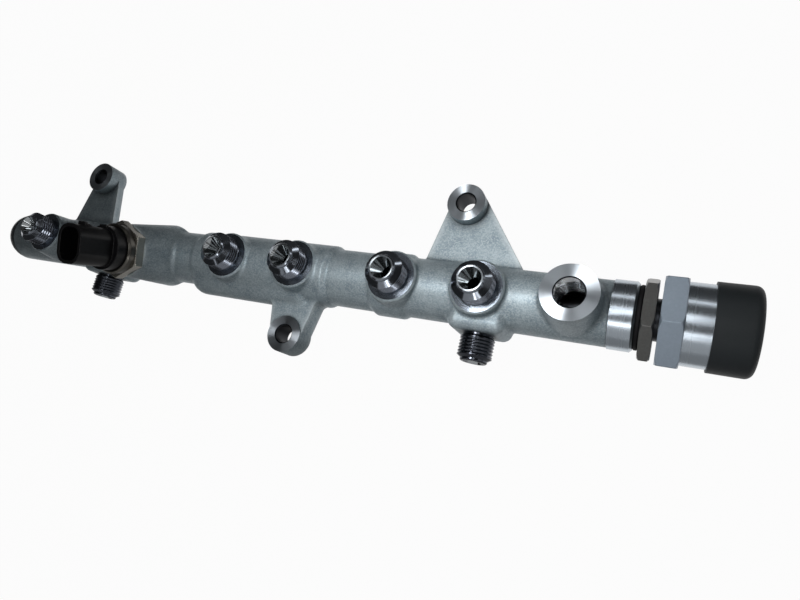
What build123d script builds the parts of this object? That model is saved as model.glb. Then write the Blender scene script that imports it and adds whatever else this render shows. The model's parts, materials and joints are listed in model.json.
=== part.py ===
from build123d import *
import os
from math import cos, pi, radians, sin, sqrt, tan

# Common-rail fuel rail: a forged and machined steel rail with a pressure sensor near one end
# and a pressure control valve in the other. All sizes are in millimetres.
# X runs along the rail from the closed end to the valve, Z is the way the pipe outlets point,
# and Y points to the side with two bolt lugs. The origin is the middle bolt hole, on its pad.
# Stations are places along X, counted from the middle bolt.

# Rail tube
TUBE_RADIUS = 14.4
BARREL_RADIUS = 15.9
BARREL_SLOPE = 2.5
BARREL_SPANS = [(-66.0, 20.0), (43.0, 61.5)]
BARREL_BLEND = 1.8
CLOSED_END = -223.3
DOME_RADIUS = 11.5
OPEN_END = 162.5
COLLAR_RADIUS = 15.0
COLLAR_LENGTH = 10.0
COLLAR_CHAMFER = 1.0
MAIN_BORE_RADIUS = 5.0
BORE_END_WALL = 32.0
DRILL_POINT_ANGLE = 59.0
FORGED_BLEND = 3.0
CROWDED_BLEND = 1.5

# Pipe outlets, thread M18 x 1.5, standing on round posts
OUTLET_STATIONS = [-180.5, -40.2, 1.3, 55.5, 97.0]
OUTLET_THREAD_RADIUS = 9.0
OUTLET_SHOULDER_HEIGHT = 16.9
OUTLET_SHOULDER_RADIUS = 11.65
OUTLET_SHOULDER_DEPTH = 0.8
OUTLET_TIP_HEIGHT = 28.8
OUTLET_POST_FOOT_RADIUS = 14.2
OUTLET_DRILLING_RADIUS = 1.5

# Pump connections, thread M16 x 1.5, on the side opposite the two lugs
INLET_STATIONS = [-133.9, 97.6]
INLET_THREAD_RADIUS = 8.0
INLET_BLOCK_REACH = 18.0
INLET_TIP_REACH = 30.8
INLET_BLOCK_WIDTH = 27.0
INLET_BLOCK_DEPTH = 24.0
INLET_BLOCK_CORNER = 4.5
INLET_DRILLING_RADIUS = 2.5

# Stub ends
RELIEF_DEPTH = 0.9
RELIEF_LENGTH = 0.9
NOSE_RADIUS = 6.3
NOSE_LENGTH = 1.4
NOSE_CONE_ANGLE = 56.0
NOSE_CHAMFER = 0.6
CONE_MOUTH_RADIUS = 5.1
CONE_HALF_ANGLE = 30.0

# Return port, thread M14 x 1.5 inside
PORT_STATION = 137.6
PORT_FACE_HEIGHT = 26.1
PORT_FACE_RADIUS = 11.9
PORT_FOOT_RADIUS = 14.0
PORT_HOLE_RADIUS = 6.2
PORT_MOUTH_CHAMFER = 0.5

# Bolt lugs for M8 bolts
LUG_HOLE_RADIUS = 4.5
LUG_BOSS_RADIUS = 9.3
LUG_THICKNESS = 12.0
LUG_WEB_STEP = 0.9
LUG_HOLE_CHAMFER = 0.6
LUG_DRAFT = 4.0
LUG_BLEND = 2.0
MIDDLE_LUG_REACH = 34.0
OUTER_LUG_REACH = 43.6
SENSOR_LUG_STATION = -164.0
VALVE_LUG_STATION = 80.0
SENSOR_LUG_FOOT = (-182.0, -145.9)
MIDDLE_LUG_FOOT = (-14.7, 14.9)
VALVE_LUG_FOOT = (62.4, 117.6)
LUG_FOOT_DEPTH = 7.2

# Rib under the two middle outlets
RIB_SPAN = (-60.0, 2.0)
RIB_REACH = 19.2
RIB_RADIUS = 10.0

# Pressure sensor, measured along its own axis from the rail axis
SENSOR_STATION = -96.5
SENSOR_TILT = 15.0
SENSOR_BOSS_BACK = -9.0
SENSOR_BOSS_BACK_RADIUS = 13.4
SENSOR_BOSS_FOOT = 1.0
SENSOR_BOSS_FOOT_RADIUS = 17.6
SENSOR_BOSS_FOOT_SHIFT = 5.0
SENSOR_FACE_HEIGHT = 30.1
SENSOR_FACE_RADIUS = 14.2
SENSOR_THREAD_RADIUS = 6.0
SENSOR_PASSAGE_RADIUS = 1.5
SENSOR_SEAT_HEIGHT = 16.0
SENSOR_HEX_FLATS = 27.0
SENSOR_HEX_HEIGHT = 5.0
SENSOR_HEX_TURN = 30.0
SENSOR_NECK_RADIUS = 8.0
SENSOR_NECK_HEIGHT = 3.6
SENSOR_CHANNEL_RADIUS = 1.2
SENSOR_MEMBRANE = 0.6
SENSOR_CELL_RADIUS = 5.5
SENSOR_CELL_THICKNESS = 0.8
SENSOR_RING_RADIUS = 13.4
SENSOR_RING_WALL = 0.9
SENSOR_RING_HEIGHT = 4.2
SENSOR_SEAL_WIRE = 1.1
SENSOR_BOARD_RADIUS = 8.6
SENSOR_BOARD_THICKNESS = 1.2
SENSOR_ROOM_HEIGHT = 7.5
SENSOR_HOUSING_RADIUS = 11.6
SENSOR_HOUSING_HEIGHT = 10.0
SENSOR_PLUG_WIDTH = 16.0
SENSOR_PLUG_DEPTH = 20.0
SENSOR_PLUG_CORNER = 6.5
SENSOR_PLUG_WALL = 1.7
SENSOR_REACH = 34.3
SENSOR_SOCKET_DEPTH = 20.0
SENSOR_LATCH_WIDTH = 5.0
SENSOR_LATCH_LENGTH = 4.5
SENSOR_LATCH_HEIGHT = 1.9
SENSOR_LATCH_PLACES = (6.0, 18.5)
SENSOR_PIN_COUNT = 3
SENSOR_PIN_PITCH = 4.0
SENSOR_PIN_WIDTH = 1.5
SENSOR_PIN_THICKNESS = 0.8
SENSOR_PIN_RECESS = 10.0

# Pressure control valve, measured from the machined end of the rail
VALVE_CHAMBER_RADIUS = 9.0
VALVE_CHAMBER_DEPTH = 38.0
VALVE_TIP_RADIUS = 6.0
VALVE_SHANK_DEPTH = 17.0
VALVE_GROOVE_DEPTH = 1.5
VALVE_GROOVE_LENGTH = 2.6
VALVE_GROOVE_PLACE = -14.5
SEAL_RING_THICKNESS = 2.2
SEAL_RING_RADIUS = 13.8
SEAL_RING_CHAMFER = 0.6
LOCK_NUT_FLATS = 32.0
LOCK_NUT_THICKNESS = 5.0
LOCK_NUT_TURN = 23.0
HEX_FLATS = 36.0
HEX_START = 9.0
HEX_LENGTH = 9.0
HEX_TURN = 14.0
HEX_CHAMFER_ANGLE = 30.0
HEX_FACE_SHARE = 1.06
CAN_RADIUS = 17.2
CAN_END = 31.0
CAN_WALL = 1.7
CAP_RADIUS = 18.4
CAP_START = 28.0
CAP_END = 44.5
CAP_RIM = 3.2
CAP_FLOOR = 3.0
CAP_SOCKET_WIDTH = 19.0
CAP_SOCKET_HEIGHT = 12.5
CAP_SOCKET_CORNER = 4.0
COIL_START = 11.0
COIL_LENGTH = 9.5
POLE_RADIUS = 7.8
BOBBIN_WALL = 0.9
PLATE_RADIUS = 10.5
PLATE_THICKNESS = 3.5
PLATE_AIR_GAP = 0.3
VALVE_LIFT = 0.4
PLUNGER_RADIUS = 2.0
PLUNGER_RUNNING_GAP = 0.05
BALL_RADIUS = 1.5
SEAT_LENGTH = 4.5
SEAT_RADIUS = 3.4
SEAT_DRILLING_RADIUS = 0.6
SEAT_CONE_HALF_ANGLE = 45.0
SEAT_MOUTH_RADIUS = 1.9
BALL_SEAT_GAP = 0.05
PLUNGER_TIP_RADIUS = 1.2
BALL_ROOM_RADIUS = 2.7
BALL_ROOM_LENGTH = 5.0
RETURN_DRILLING_RADIUS = 1.0
RETURN_DRILLING_COUNT = 4
SPRING_RADIUS = 3.0
SPRING_WIRE = 0.7
SPRING_POCKET_DEPTH = 3.2
SPRING_TURNS = 3.5
SPRING_RUNS_PER_TURN = 12
SPRING_ROOM = 0.8
VALVE_PIN_PITCH = 6.0
VALVE_PIN_WIDTH = 2.8
VALVE_PIN_THICKNESS = 0.8
VALVE_PIN_REACH = 8.0
VALVE_LEAD_RADIUS = 13.0
LEAD_SLOT_GAP = 0.6

# Clearance between pieces that are screwed, pressed or moulded together
FIT_GAP = 0.1

# The rail axis, seen from the origin on the middle bolt's pad
TO_FRAME = Location((0.0, MIDDLE_LUG_REACH, LUG_THICKNESS / 2))
SENSOR_PLACE = Location((SENSOR_STATION, 0.0, 0.0), (SENSOR_TILT, 0.0, 0.0))


def turned(points):
    """Solid of revolution about the rail axis from (station, radius) points."""
    return Rot(-90, 0, 0) * revolve(make_face(Polyline(*points, close=True)), Axis.X)


def upright(points):
    """Solid of revolution about Z from (radius, height) points."""
    return revolve(Plane.XZ * make_face(Polyline(*points, close=True)), Axis.Z)


def rod(radius, start, end):
    """Cylinder about Z between two heights."""
    return Pos(0, 0, start) * Cylinder(radius, end - start, align=(Align.CENTER, Align.CENTER, Align.MIN))


def shaft(radius, start, end):
    """Cylinder about the rail axis between two stations."""
    return Pos(start, 0, 0) * Rot(0, 90, 0) * rod(radius, 0, end - start)


def stub(thread_radius, foot, tip):
    """Threaded pipe stub about Z: relief groove, thread at its outer size, cone and nose."""
    nose_start = tip - NOSE_LENGTH
    cone_start = nose_start - (thread_radius - NOSE_RADIUS) / tan(radians(NOSE_CONE_ANGLE))
    return upright([
        (0, foot - RELIEF_LENGTH),
        (thread_radius - RELIEF_DEPTH, foot - RELIEF_LENGTH),
        (thread_radius - RELIEF_DEPTH, foot + RELIEF_LENGTH),
        (thread_radius, foot + RELIEF_LENGTH + RELIEF_DEPTH),
        (thread_radius, cone_start),
        (NOSE_RADIUS, nose_start),
        (NOSE_RADIUS, tip - NOSE_CHAMFER),
        (NOSE_RADIUS - NOSE_CHAMFER, tip),
        (0, tip),
    ])


def stub_passage(drilling_radius, tip):
    """Sealing cone in the mouth of a stub and the drilling down to the main bore."""
    cone_depth = (CONE_MOUTH_RADIUS - drilling_radius) / tan(radians(CONE_HALF_ANGLE))
    return upright([
        (0, 0),
        (drilling_radius, 0),
        (drilling_radius, tip - cone_depth),
        (CONE_MOUTH_RADIUS, tip),
        (0, tip),
    ])


def seal(radius, wire_radius):
    """Rubber ring about Z with an eight-sided section."""
    section = Plane.XZ * Pos(radius, 0) * RegularPolygon(wire_radius, 8)
    return revolve(section, Axis.Z)


def outlet_place(station):
    """Place of an outlet: on the rail axis, pointing up."""
    return Pos(station, 0, 0)


def inlet_place(station):
    """Place of a pump connection: on the rail axis, pointing sideways."""
    return Pos(station, 0, 0) * Rot(90, 0, 0)


def forged_tube():
    """Round tube with its thicker barrels, domed closed end and machined collar."""
    collar_start = OPEN_END - COLLAR_LENGTH
    outline = [(CLOSED_END, 0), (CLOSED_END, TUBE_RADIUS)]
    for start, end in BARREL_SPANS:
        outline += [
            (start, TUBE_RADIUS),
            (start + BARREL_SLOPE, BARREL_RADIUS),
            (end - BARREL_SLOPE, BARREL_RADIUS),
            (end, TUBE_RADIUS),
        ]
    outline += [
        (collar_start, TUBE_RADIUS),
        (collar_start, COLLAR_RADIUS),
        (OPEN_END - COLLAR_CHAMFER, COLLAR_RADIUS),
        (OPEN_END, COLLAR_RADIUS - COLLAR_CHAMFER),
        (OPEN_END, 0),
    ]
    face = make_face(Polyline(*outline, close=True))
    inner = [v for v in face.vertices() if CLOSED_END < v.X < collar_start and v.Y > 0]
    face = fillet(inner, BARREL_BLEND)
    corner = [v for v in face.vertices() if v.X == CLOSED_END and v.Y > 0]
    face = fillet(corner, DOME_RADIUS)
    return Rot(-90, 0, 0) * revolve(face, Axis.X)


def outlet_post(station):
    """Conical post under an outlet, with the machined shoulder on top."""
    forged_height = OUTLET_SHOULDER_HEIGHT - OUTLET_SHOULDER_DEPTH
    return outlet_place(station) * upright([
        (0, 0),
        (OUTLET_POST_FOOT_RADIUS, 0),
        (OUTLET_SHOULDER_RADIUS + OUTLET_SHOULDER_DEPTH, forged_height),
        (OUTLET_SHOULDER_RADIUS, OUTLET_SHOULDER_HEIGHT),
        (0, OUTLET_SHOULDER_HEIGHT),
    ])


def port_post():
    """Conical post of the return port."""
    return outlet_place(PORT_STATION) * upright([
        (0, 0),
        (PORT_FOOT_RADIUS, 0),
        (PORT_FACE_RADIUS, PORT_FACE_HEIGHT),
        (0, PORT_FACE_HEIGHT),
    ])


def sensor_boss():
    """Leaning round boss that carries the sensor, with its foot drawn towards the valve."""
    rings = [
        Pos(SENSOR_BOSS_FOOT_SHIFT, 0, SENSOR_BOSS_BACK) * Circle(SENSOR_BOSS_BACK_RADIUS),
        Pos(SENSOR_BOSS_FOOT_SHIFT, 0, SENSOR_BOSS_FOOT) * Circle(SENSOR_BOSS_FOOT_RADIUS),
        Pos(0, 0, SENSOR_FACE_HEIGHT) * Circle(SENSOR_FACE_RADIUS),
    ]
    return SENSOR_PLACE * loft(rings, ruled=True)


def inlet_block(station):
    """Rounded block under a pump connection."""
    block = inlet_place(station) * Pos(0, 0, INLET_BLOCK_REACH / 2) * Box(
        INLET_BLOCK_WIDTH, INLET_BLOCK_DEPTH, INLET_BLOCK_REACH
    )
    return fillet(block.edges(), INLET_BLOCK_CORNER)


def rib():
    """Round-ended rib along the side of the tube between the sensor and the middle lug."""
    start, end = RIB_SPAN
    middle = RIB_REACH - RIB_RADIUS
    bar = shaft(RIB_RADIUS, start, end)
    bar += Pos(start, 0, 0) * Sphere(RIB_RADIUS)
    bar += Pos(end, 0, 0) * Sphere(RIB_RADIUS)
    return Pos(0, -middle, 0) * bar


def lug(station, reach, foot):
    """Bolt lug: a round boss on a drafted web that widens to its foot in the tube."""
    side = 1 if reach > 0 else -1
    boss = Pos(station, reach, 0) * Cylinder(LUG_BOSS_RADIUS, LUG_THICKNESS)
    near = (foot[0], side * LUG_FOOT_DEPTH)
    far = (foot[1], side * LUG_FOOT_DEPTH)
    centre = (station, reach)
    near_touch = tangent_point(near, centre, -side)
    far_touch = tangent_point(far, centre, side)
    outline = Polyline(near, near_touch, far_touch, far, close=True)
    web = extrude(make_face(outline), LUG_THICKNESS / 2 - LUG_WEB_STEP, both=True, taper=LUG_DRAFT)
    return boss + web


def tangent_point(point, centre, side):
    """Point where a line from a foot corner touches the lug's round boss."""
    dx = point[0] - centre[0]
    dy = point[1] - centre[1]
    length = sqrt(dx * dx + dy * dy)
    along = LUG_BOSS_RADIUS * LUG_BOSS_RADIUS / length
    across = side * LUG_BOSS_RADIUS * sqrt(1 - (LUG_BOSS_RADIUS / length) ** 2)
    return (
        centre[0] + (dx * along - dy * across) / length,
        centre[1] + (dy * along + dx * across) / length,
    )


def blended(base, pieces, radius):
    """Join forged pieces to the base and round the edges where they meet."""
    whole = base
    for piece in pieces:
        whole = whole + piece
    return fillet(new_edges(base, *pieces, combined=whole), radius)


def forging():
    """The raw forging, with every post, block, rib and lug blended into the tube."""
    posts = [outlet_post(station) for station in OUTLET_STATIONS]
    blocks = [inlet_block(station) for station in INLET_STATIONS]
    body = blended(forged_tube(), [rib()], FORGED_BLEND)
    body = blended(body, [lug(SENSOR_LUG_STATION, OUTER_LUG_REACH, SENSOR_LUG_FOOT)], LUG_BLEND)
    body = blended(body, [lug(VALVE_LUG_STATION, OUTER_LUG_REACH, VALVE_LUG_FOOT)], LUG_BLEND)
    body = blended(body, [lug(0, -MIDDLE_LUG_REACH, MIDDLE_LUG_FOOT)], FORGED_BLEND)
    body = blended(body, [sensor_boss()], FORGED_BLEND)
    for post in posts[:3]:
        body = blended(body, [post], FORGED_BLEND)
    body = blended(body, [posts[3]], CROWDED_BLEND)
    body = blended(body, [port_post()], FORGED_BLEND)
    for block in blocks:
        body = blended(body, [block], FORGED_BLEND)
    return blended(body, [posts[4]], CROWDED_BLEND)


def main_bore():
    """Blind drilling along the rail and the wider valve chamber at its open end."""
    blind_end = CLOSED_END + BORE_END_WALL
    point = MAIN_BORE_RADIUS / tan(radians(DRILL_POINT_ANGLE))
    chamber_floor = OPEN_END - VALVE_CHAMBER_DEPTH
    return turned([
        (blind_end - point, 0),
        (blind_end, MAIN_BORE_RADIUS),
        (chamber_floor, MAIN_BORE_RADIUS),
        (chamber_floor, VALVE_CHAMBER_RADIUS),
        (OPEN_END, VALVE_CHAMBER_RADIUS),
        (OPEN_END, 0),
    ])


def port_hole():
    """Tapped hole of the return port, open into the valve chamber."""
    return outlet_place(PORT_STATION) * upright([
        (0, 0),
        (PORT_HOLE_RADIUS, 0),
        (PORT_HOLE_RADIUS, PORT_FACE_HEIGHT - PORT_MOUTH_CHAMFER),
        (PORT_HOLE_RADIUS + PORT_MOUTH_CHAMFER, PORT_FACE_HEIGHT),
        (0, PORT_FACE_HEIGHT),
    ])


def sensor_hole():
    """Tapped hole for the sensor and the drilling below it."""
    return SENSOR_PLACE * upright([
        (0, 0),
        (SENSOR_PASSAGE_RADIUS, 0),
        (SENSOR_PASSAGE_RADIUS, SENSOR_SEAT_HEIGHT),
        (SENSOR_THREAD_RADIUS, SENSOR_SEAT_HEIGHT),
        (SENSOR_THREAD_RADIUS, SENSOR_FACE_HEIGHT),
        (0, SENSOR_FACE_HEIGHT),
    ])


def bolt_hole(station, reach):
    """Through hole of a lug, sharp at the pad and chamfered under the bolt's head."""
    half = LUG_THICKNESS / 2
    return Pos(station, reach, 0) * upright([
        (0, -half),
        (LUG_HOLE_RADIUS, -half),
        (LUG_HOLE_RADIUS, half - LUG_HOLE_CHAMFER),
        (LUG_HOLE_RADIUS + LUG_HOLE_CHAMFER, half),
        (0, half),
    ])


def rail_body():
    """The rail: one forging with machined stubs, faces, tapped holes and drillings."""
    body = forging()
    for station in OUTLET_STATIONS:
        body += outlet_place(station) * stub(OUTLET_THREAD_RADIUS, OUTLET_SHOULDER_HEIGHT, OUTLET_TIP_HEIGHT)
    for station in INLET_STATIONS:
        body += inlet_place(station) * stub(INLET_THREAD_RADIUS, INLET_BLOCK_REACH, INLET_TIP_REACH)
    body -= main_bore()
    for station in OUTLET_STATIONS:
        body -= outlet_place(station) * stub_passage(OUTLET_DRILLING_RADIUS, OUTLET_TIP_HEIGHT)
    for station in INLET_STATIONS:
        body -= inlet_place(station) * stub_passage(INLET_DRILLING_RADIUS, INLET_TIP_REACH)
    body -= port_hole()
    body -= sensor_hole()
    body -= bolt_hole(SENSOR_LUG_STATION, OUTER_LUG_REACH)
    body -= bolt_hole(VALVE_LUG_STATION, OUTER_LUG_REACH)
    body -= bolt_hole(0, -MIDDLE_LUG_REACH)
    return body


# Heights of the sensor's pieces along its axis
SENSOR_HEX_START = SENSOR_FACE_HEIGHT + FIT_GAP
SENSOR_HEX_TOP = SENSOR_HEX_START + SENSOR_HEX_HEIGHT
SENSOR_NECK_TOP = SENSOR_HEX_TOP + SENSOR_NECK_HEIGHT
SENSOR_CELL_TOP = SENSOR_NECK_TOP + SENSOR_CELL_THICKNESS
SENSOR_BOARD_TOP = SENSOR_CELL_TOP + SENSOR_BOARD_THICKNESS
SENSOR_RING_TOP = SENSOR_HEX_TOP + SENSOR_RING_HEIGHT
SENSOR_ROOM_TOP = SENSOR_HEX_TOP + SENSOR_ROOM_HEIGHT
SENSOR_FLANGE_RADIUS = SENSOR_RING_RADIUS - SENSOR_RING_WALL - FIT_GAP
SENSOR_FLANGE_TOP = SENSOR_RING_TOP - SENSOR_RING_WALL - FIT_GAP
SENSOR_PLUG_TIP = SENSOR_FACE_HEIGHT + SENSOR_REACH
SENSOR_SOCKET_FLOOR = SENSOR_PLUG_TIP - SENSOR_SOCKET_DEPTH
SENSOR_ROOM_RADIUS = SENSOR_BOARD_RADIUS + FIT_GAP
SENSOR_SEAL_RADIUS = (SENSOR_ROOM_RADIUS + SENSOR_FLANGE_RADIUS) / 2


def hexagon(flats, length, turn, chamfers):
    """Hexagon bar about Z with the corners chamfered at the named ends."""
    corner = flats / sqrt(3)
    face_radius = flats / 2 * HEX_FACE_SHARE
    drop = (corner - face_radius) * tan(radians(HEX_CHAMFER_ANGLE))
    low = face_radius if "low" in chamfers else corner
    high = face_radius if "high" in chamfers else corner
    bar = extrude(RegularPolygon(flats / 2, 6, major_radius=False, rotation=turn), length)
    return bar & upright([
        (0, 0), (low, 0), (corner, drop), (corner, length - drop), (high, length), (0, length)
    ])


def sensor_port():
    """Steel sensor body: threaded shank, hexagon, neck and blind pressure channel."""
    shank = SENSOR_THREAD_RADIUS - FIT_GAP
    body = rod(shank, SENSOR_SEAT_HEIGHT, SENSOR_HEX_START)
    hex_bar = hexagon(SENSOR_HEX_FLATS, SENSOR_HEX_HEIGHT, SENSOR_HEX_TURN, ["high"])
    body += Pos(0, 0, SENSOR_HEX_START) * hex_bar
    body += rod(SENSOR_NECK_RADIUS, SENSOR_HEX_TOP, SENSOR_NECK_TOP)
    body -= rod(SENSOR_CHANNEL_RADIUS, SENSOR_SEAT_HEIGHT, SENSOR_NECK_TOP - SENSOR_MEMBRANE)
    return SENSOR_PLACE * body


def sensor_cell():
    """Measuring cell on the membrane."""
    return SENSOR_PLACE * rod(SENSOR_CELL_RADIUS, SENSOR_NECK_TOP, SENSOR_CELL_TOP)


def sensor_board():
    """Round circuit board on the cell."""
    return SENSOR_PLACE * rod(SENSOR_BOARD_RADIUS, SENSOR_CELL_TOP, SENSOR_BOARD_TOP)


def sensor_ring():
    """Crimped ring that holds the housing down on the hexagon."""
    inside = SENSOR_RING_RADIUS - SENSOR_RING_WALL
    lip = SENSOR_HOUSING_RADIUS + FIT_GAP
    return SENSOR_PLACE * upright([
        (inside, SENSOR_HEX_TOP),
        (SENSOR_RING_RADIUS, SENSOR_HEX_TOP),
        (SENSOR_RING_RADIUS, SENSOR_RING_TOP - SENSOR_RING_WALL),
        (SENSOR_RING_RADIUS - SENSOR_RING_WALL, SENSOR_RING_TOP),
        (lip, SENSOR_RING_TOP),
        (lip, SENSOR_RING_TOP - SENSOR_RING_WALL),
        (inside, SENSOR_RING_TOP - SENSOR_RING_WALL),
    ])


def sensor_seal():
    """Rubber ring between the hexagon and the housing's flange."""
    height = SENSOR_HEX_TOP + SENSOR_SEAL_WIRE / 2
    return SENSOR_PLACE * Pos(0, 0, height) * seal(SENSOR_SEAL_RADIUS, SENSOR_SEAL_WIRE / 2)


def plug_form(width, depth, corner, start, end):
    """Rounded rectangular column about the sensor axis."""
    return Pos(0, 0, start) * extrude(RectangleRounded(width, depth, corner), end - start)


def sensor_latch(place):
    """Small ramp on the plug that the mating connector clips over."""
    ramp = make_face(Polyline((0, 0), (SENSOR_LATCH_HEIGHT, 0), (0, -SENSOR_LATCH_LENGTH), close=True))
    wedge = extrude(Plane.YZ * ramp, SENSOR_LATCH_WIDTH / 2, both=True)
    return Pos(0, SENSOR_PLUG_DEPTH / 2, SENSOR_PLUG_TIP - place) * wedge


def sensor_pin_form(number, gap):
    """Contact blade from the board through the housing into the socket."""
    offset = (number - (SENSOR_PIN_COUNT - 1) / 2) * SENSOR_PIN_PITCH
    start = SENSOR_BOARD_TOP
    end = SENSOR_PLUG_TIP - SENSOR_PIN_RECESS
    blade = Box(SENSOR_PIN_THICKNESS + 2 * gap, SENSOR_PIN_WIDTH + 2 * gap, end - start)
    return Pos(0, offset, (start + end) / 2) * blade


def sensor_housing():
    """Plastic housing: flange under the ring, round base and plug shell with its socket."""
    base = SENSOR_HEX_TOP + FIT_GAP
    seal_room = SENSOR_SEAL_WIRE / 2 + FIT_GAP
    body = rod(SENSOR_FLANGE_RADIUS, base, SENSOR_FLANGE_TOP)
    body += rod(SENSOR_HOUSING_RADIUS, base, SENSOR_HEX_TOP + SENSOR_HOUSING_HEIGHT)
    body += plug_form(
        SENSOR_PLUG_WIDTH,
        SENSOR_PLUG_DEPTH,
        SENSOR_PLUG_CORNER,
        SENSOR_ROOM_TOP,
        SENSOR_PLUG_TIP,
    )
    for place in SENSOR_LATCH_PLACES:
        body += sensor_latch(place)
    body -= plug_form(
        SENSOR_PLUG_WIDTH - 2 * SENSOR_PLUG_WALL,
        SENSOR_PLUG_DEPTH - 2 * SENSOR_PLUG_WALL,
        SENSOR_PLUG_CORNER - SENSOR_PLUG_WALL,
        SENSOR_SOCKET_FLOOR,
        SENSOR_PLUG_TIP,
    )
    body -= rod(SENSOR_ROOM_RADIUS, base, SENSOR_ROOM_TOP)
    body -= upright([
        (SENSOR_SEAL_RADIUS - seal_room, base),
        (SENSOR_SEAL_RADIUS + seal_room, base),
        (SENSOR_SEAL_RADIUS + seal_room, SENSOR_HEX_TOP + SENSOR_SEAL_WIRE + FIT_GAP),
        (SENSOR_SEAL_RADIUS - seal_room, SENSOR_HEX_TOP + SENSOR_SEAL_WIRE + FIT_GAP),
    ])
    for number in range(SENSOR_PIN_COUNT):
        body -= sensor_pin_form(number, 0)
    return SENSOR_PLACE * body


def sensor_pin(number):
    """One contact of the sensor, in its place."""
    return SENSOR_PLACE * sensor_pin_form(number, 0)


# Stations of the valve's pieces, counted from the rail's open end
SHANK_RADIUS = VALVE_CHAMBER_RADIUS - FIT_GAP
CAN_BORE_RADIUS = CAN_RADIUS - CAN_WALL
HEX_END = HEX_START + HEX_LENGTH
COIL_END = COIL_START + COIL_LENGTH
SEAT_TOP = -VALVE_CHAMBER_DEPTH + SEAT_LENGTH
SEAT_CONE_DEPTH = (SEAT_MOUTH_RADIUS - SEAT_DRILLING_RADIUS) / tan(radians(SEAT_CONE_HALF_ANGLE))
SEAT_APEX = SEAT_TOP - SEAT_MOUTH_RADIUS / tan(radians(SEAT_CONE_HALF_ANGLE))
BALL_CENTRE = SEAT_APEX + BALL_RADIUS / sin(radians(SEAT_CONE_HALF_ANGLE)) + BALL_SEAT_GAP
BALL_ROOM_END = SEAT_TOP + BALL_ROOM_LENGTH
GUIDE_RADIUS = PLUNGER_RADIUS + PLUNGER_RUNNING_GAP
PLATE_START = COIL_END + PLATE_AIR_GAP
PLATE_END = PLATE_START + PLATE_THICKNESS
END_PLATE_START = PLATE_END + VALVE_LIFT + PLUNGER_RUNNING_GAP
SPRING_FLOOR = END_PLATE_START + SPRING_POCKET_DEPTH
CAP_INSIDE = CAN_END + FIT_GAP
CAP_SOCKET_FLOOR = CAP_INSIDE + CAP_FLOOR
LEAD_BEND = CAP_INSIDE + (CAP_FLOOR - VALVE_PIN_THICKNESS) / 2


def at_valve(shape):
    """Place a piece, drawn from the rail's open end, on the rail axis."""
    return Pos(OPEN_END, 0, 0) * shape


def hex_on_axis(flats, start, length, turn, chamfers):
    """Hexagon bar along the rail axis; turn swings one corner from Z towards the pump side."""
    return Pos(start, 0, 0) * Rot(0, 90, 0) * hexagon(flats, length, 180 + turn, chamfers)


def valve_body():
    """Turned valve body: slim tip, threaded shank with ring groove, hexagon and thin can."""
    groove_start = VALVE_GROOVE_PLACE - VALVE_GROOVE_LENGTH / 2
    groove_end = VALVE_GROOVE_PLACE + VALVE_GROOVE_LENGTH / 2
    groove_radius = SHANK_RADIUS - VALVE_GROOVE_DEPTH
    body = turned([
        (-VALVE_CHAMBER_DEPTH, 0),
        (-VALVE_CHAMBER_DEPTH, VALVE_TIP_RADIUS),
        (-VALVE_SHANK_DEPTH, VALVE_TIP_RADIUS),
        (-VALVE_SHANK_DEPTH, SHANK_RADIUS),
        (groove_start, SHANK_RADIUS),
        (groove_start, groove_radius),
        (groove_end, groove_radius),
        (groove_end, SHANK_RADIUS),
        (HEX_START, SHANK_RADIUS),
        (HEX_START, 0),
    ])
    body += hex_on_axis(HEX_FLATS, HEX_START, HEX_LENGTH, HEX_TURN, ["low", "high"])
    body += shaft(CAN_RADIUS, HEX_END, CAN_END)
    body -= shaft(SEAT_RADIUS, -VALVE_CHAMBER_DEPTH, SEAT_TOP)
    body -= shaft(BALL_ROOM_RADIUS, SEAT_TOP, BALL_ROOM_END)
    body -= shaft(GUIDE_RADIUS, BALL_ROOM_END, COIL_END)
    body -= turned([
        (COIL_START, POLE_RADIUS),
        (COIL_START, CAN_BORE_RADIUS),
        (CAN_END, CAN_BORE_RADIUS),
        (CAN_END, 0),
        (COIL_END, 0),
        (COIL_END, POLE_RADIUS),
    ])
    drilling = rod(RETURN_DRILLING_RADIUS, 0, VALVE_TIP_RADIUS)
    for number in range(RETURN_DRILLING_COUNT):
        turn = number * 360 / RETURN_DRILLING_COUNT
        body -= Rot(turn, 0, 0) * Pos((SEAT_TOP + BALL_ROOM_END) / 2, 0, 0) * drilling
    return at_valve(body)


def valve_seal_ring():
    """Rubber ring clamped between the rail's end and the lock nut."""
    return at_valve(turned([
        (0, VALVE_CHAMBER_RADIUS),
        (0, SEAL_RING_RADIUS - SEAL_RING_CHAMFER),
        (SEAL_RING_CHAMFER, SEAL_RING_RADIUS),
        (SEAL_RING_THICKNESS - SEAL_RING_CHAMFER, SEAL_RING_RADIUS),
        (SEAL_RING_THICKNESS, SEAL_RING_RADIUS - SEAL_RING_CHAMFER),
        (SEAL_RING_THICKNESS, VALVE_CHAMBER_RADIUS),
    ]))


def valve_o_ring():
    """Round ring in the groove of the shank."""
    floor = SHANK_RADIUS - VALVE_GROOVE_DEPTH
    wire = (VALVE_CHAMBER_RADIUS - floor) / 2
    middle = (VALVE_CHAMBER_RADIUS + floor) / 2
    return at_valve(Pos(VALVE_GROOVE_PLACE, 0, 0) * Rot(0, 90, 0) * seal(middle, wire))


def lock_nut():
    """Thin hexagon nut on the shank."""
    nut = hex_on_axis(LOCK_NUT_FLATS, SEAL_RING_THICKNESS, LOCK_NUT_THICKNESS, LOCK_NUT_TURN, ["low", "high"])
    hole = shaft(VALVE_CHAMBER_RADIUS, SEAL_RING_THICKNESS, SEAL_RING_THICKNESS + LOCK_NUT_THICKNESS)
    return at_valve(nut - hole)


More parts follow.
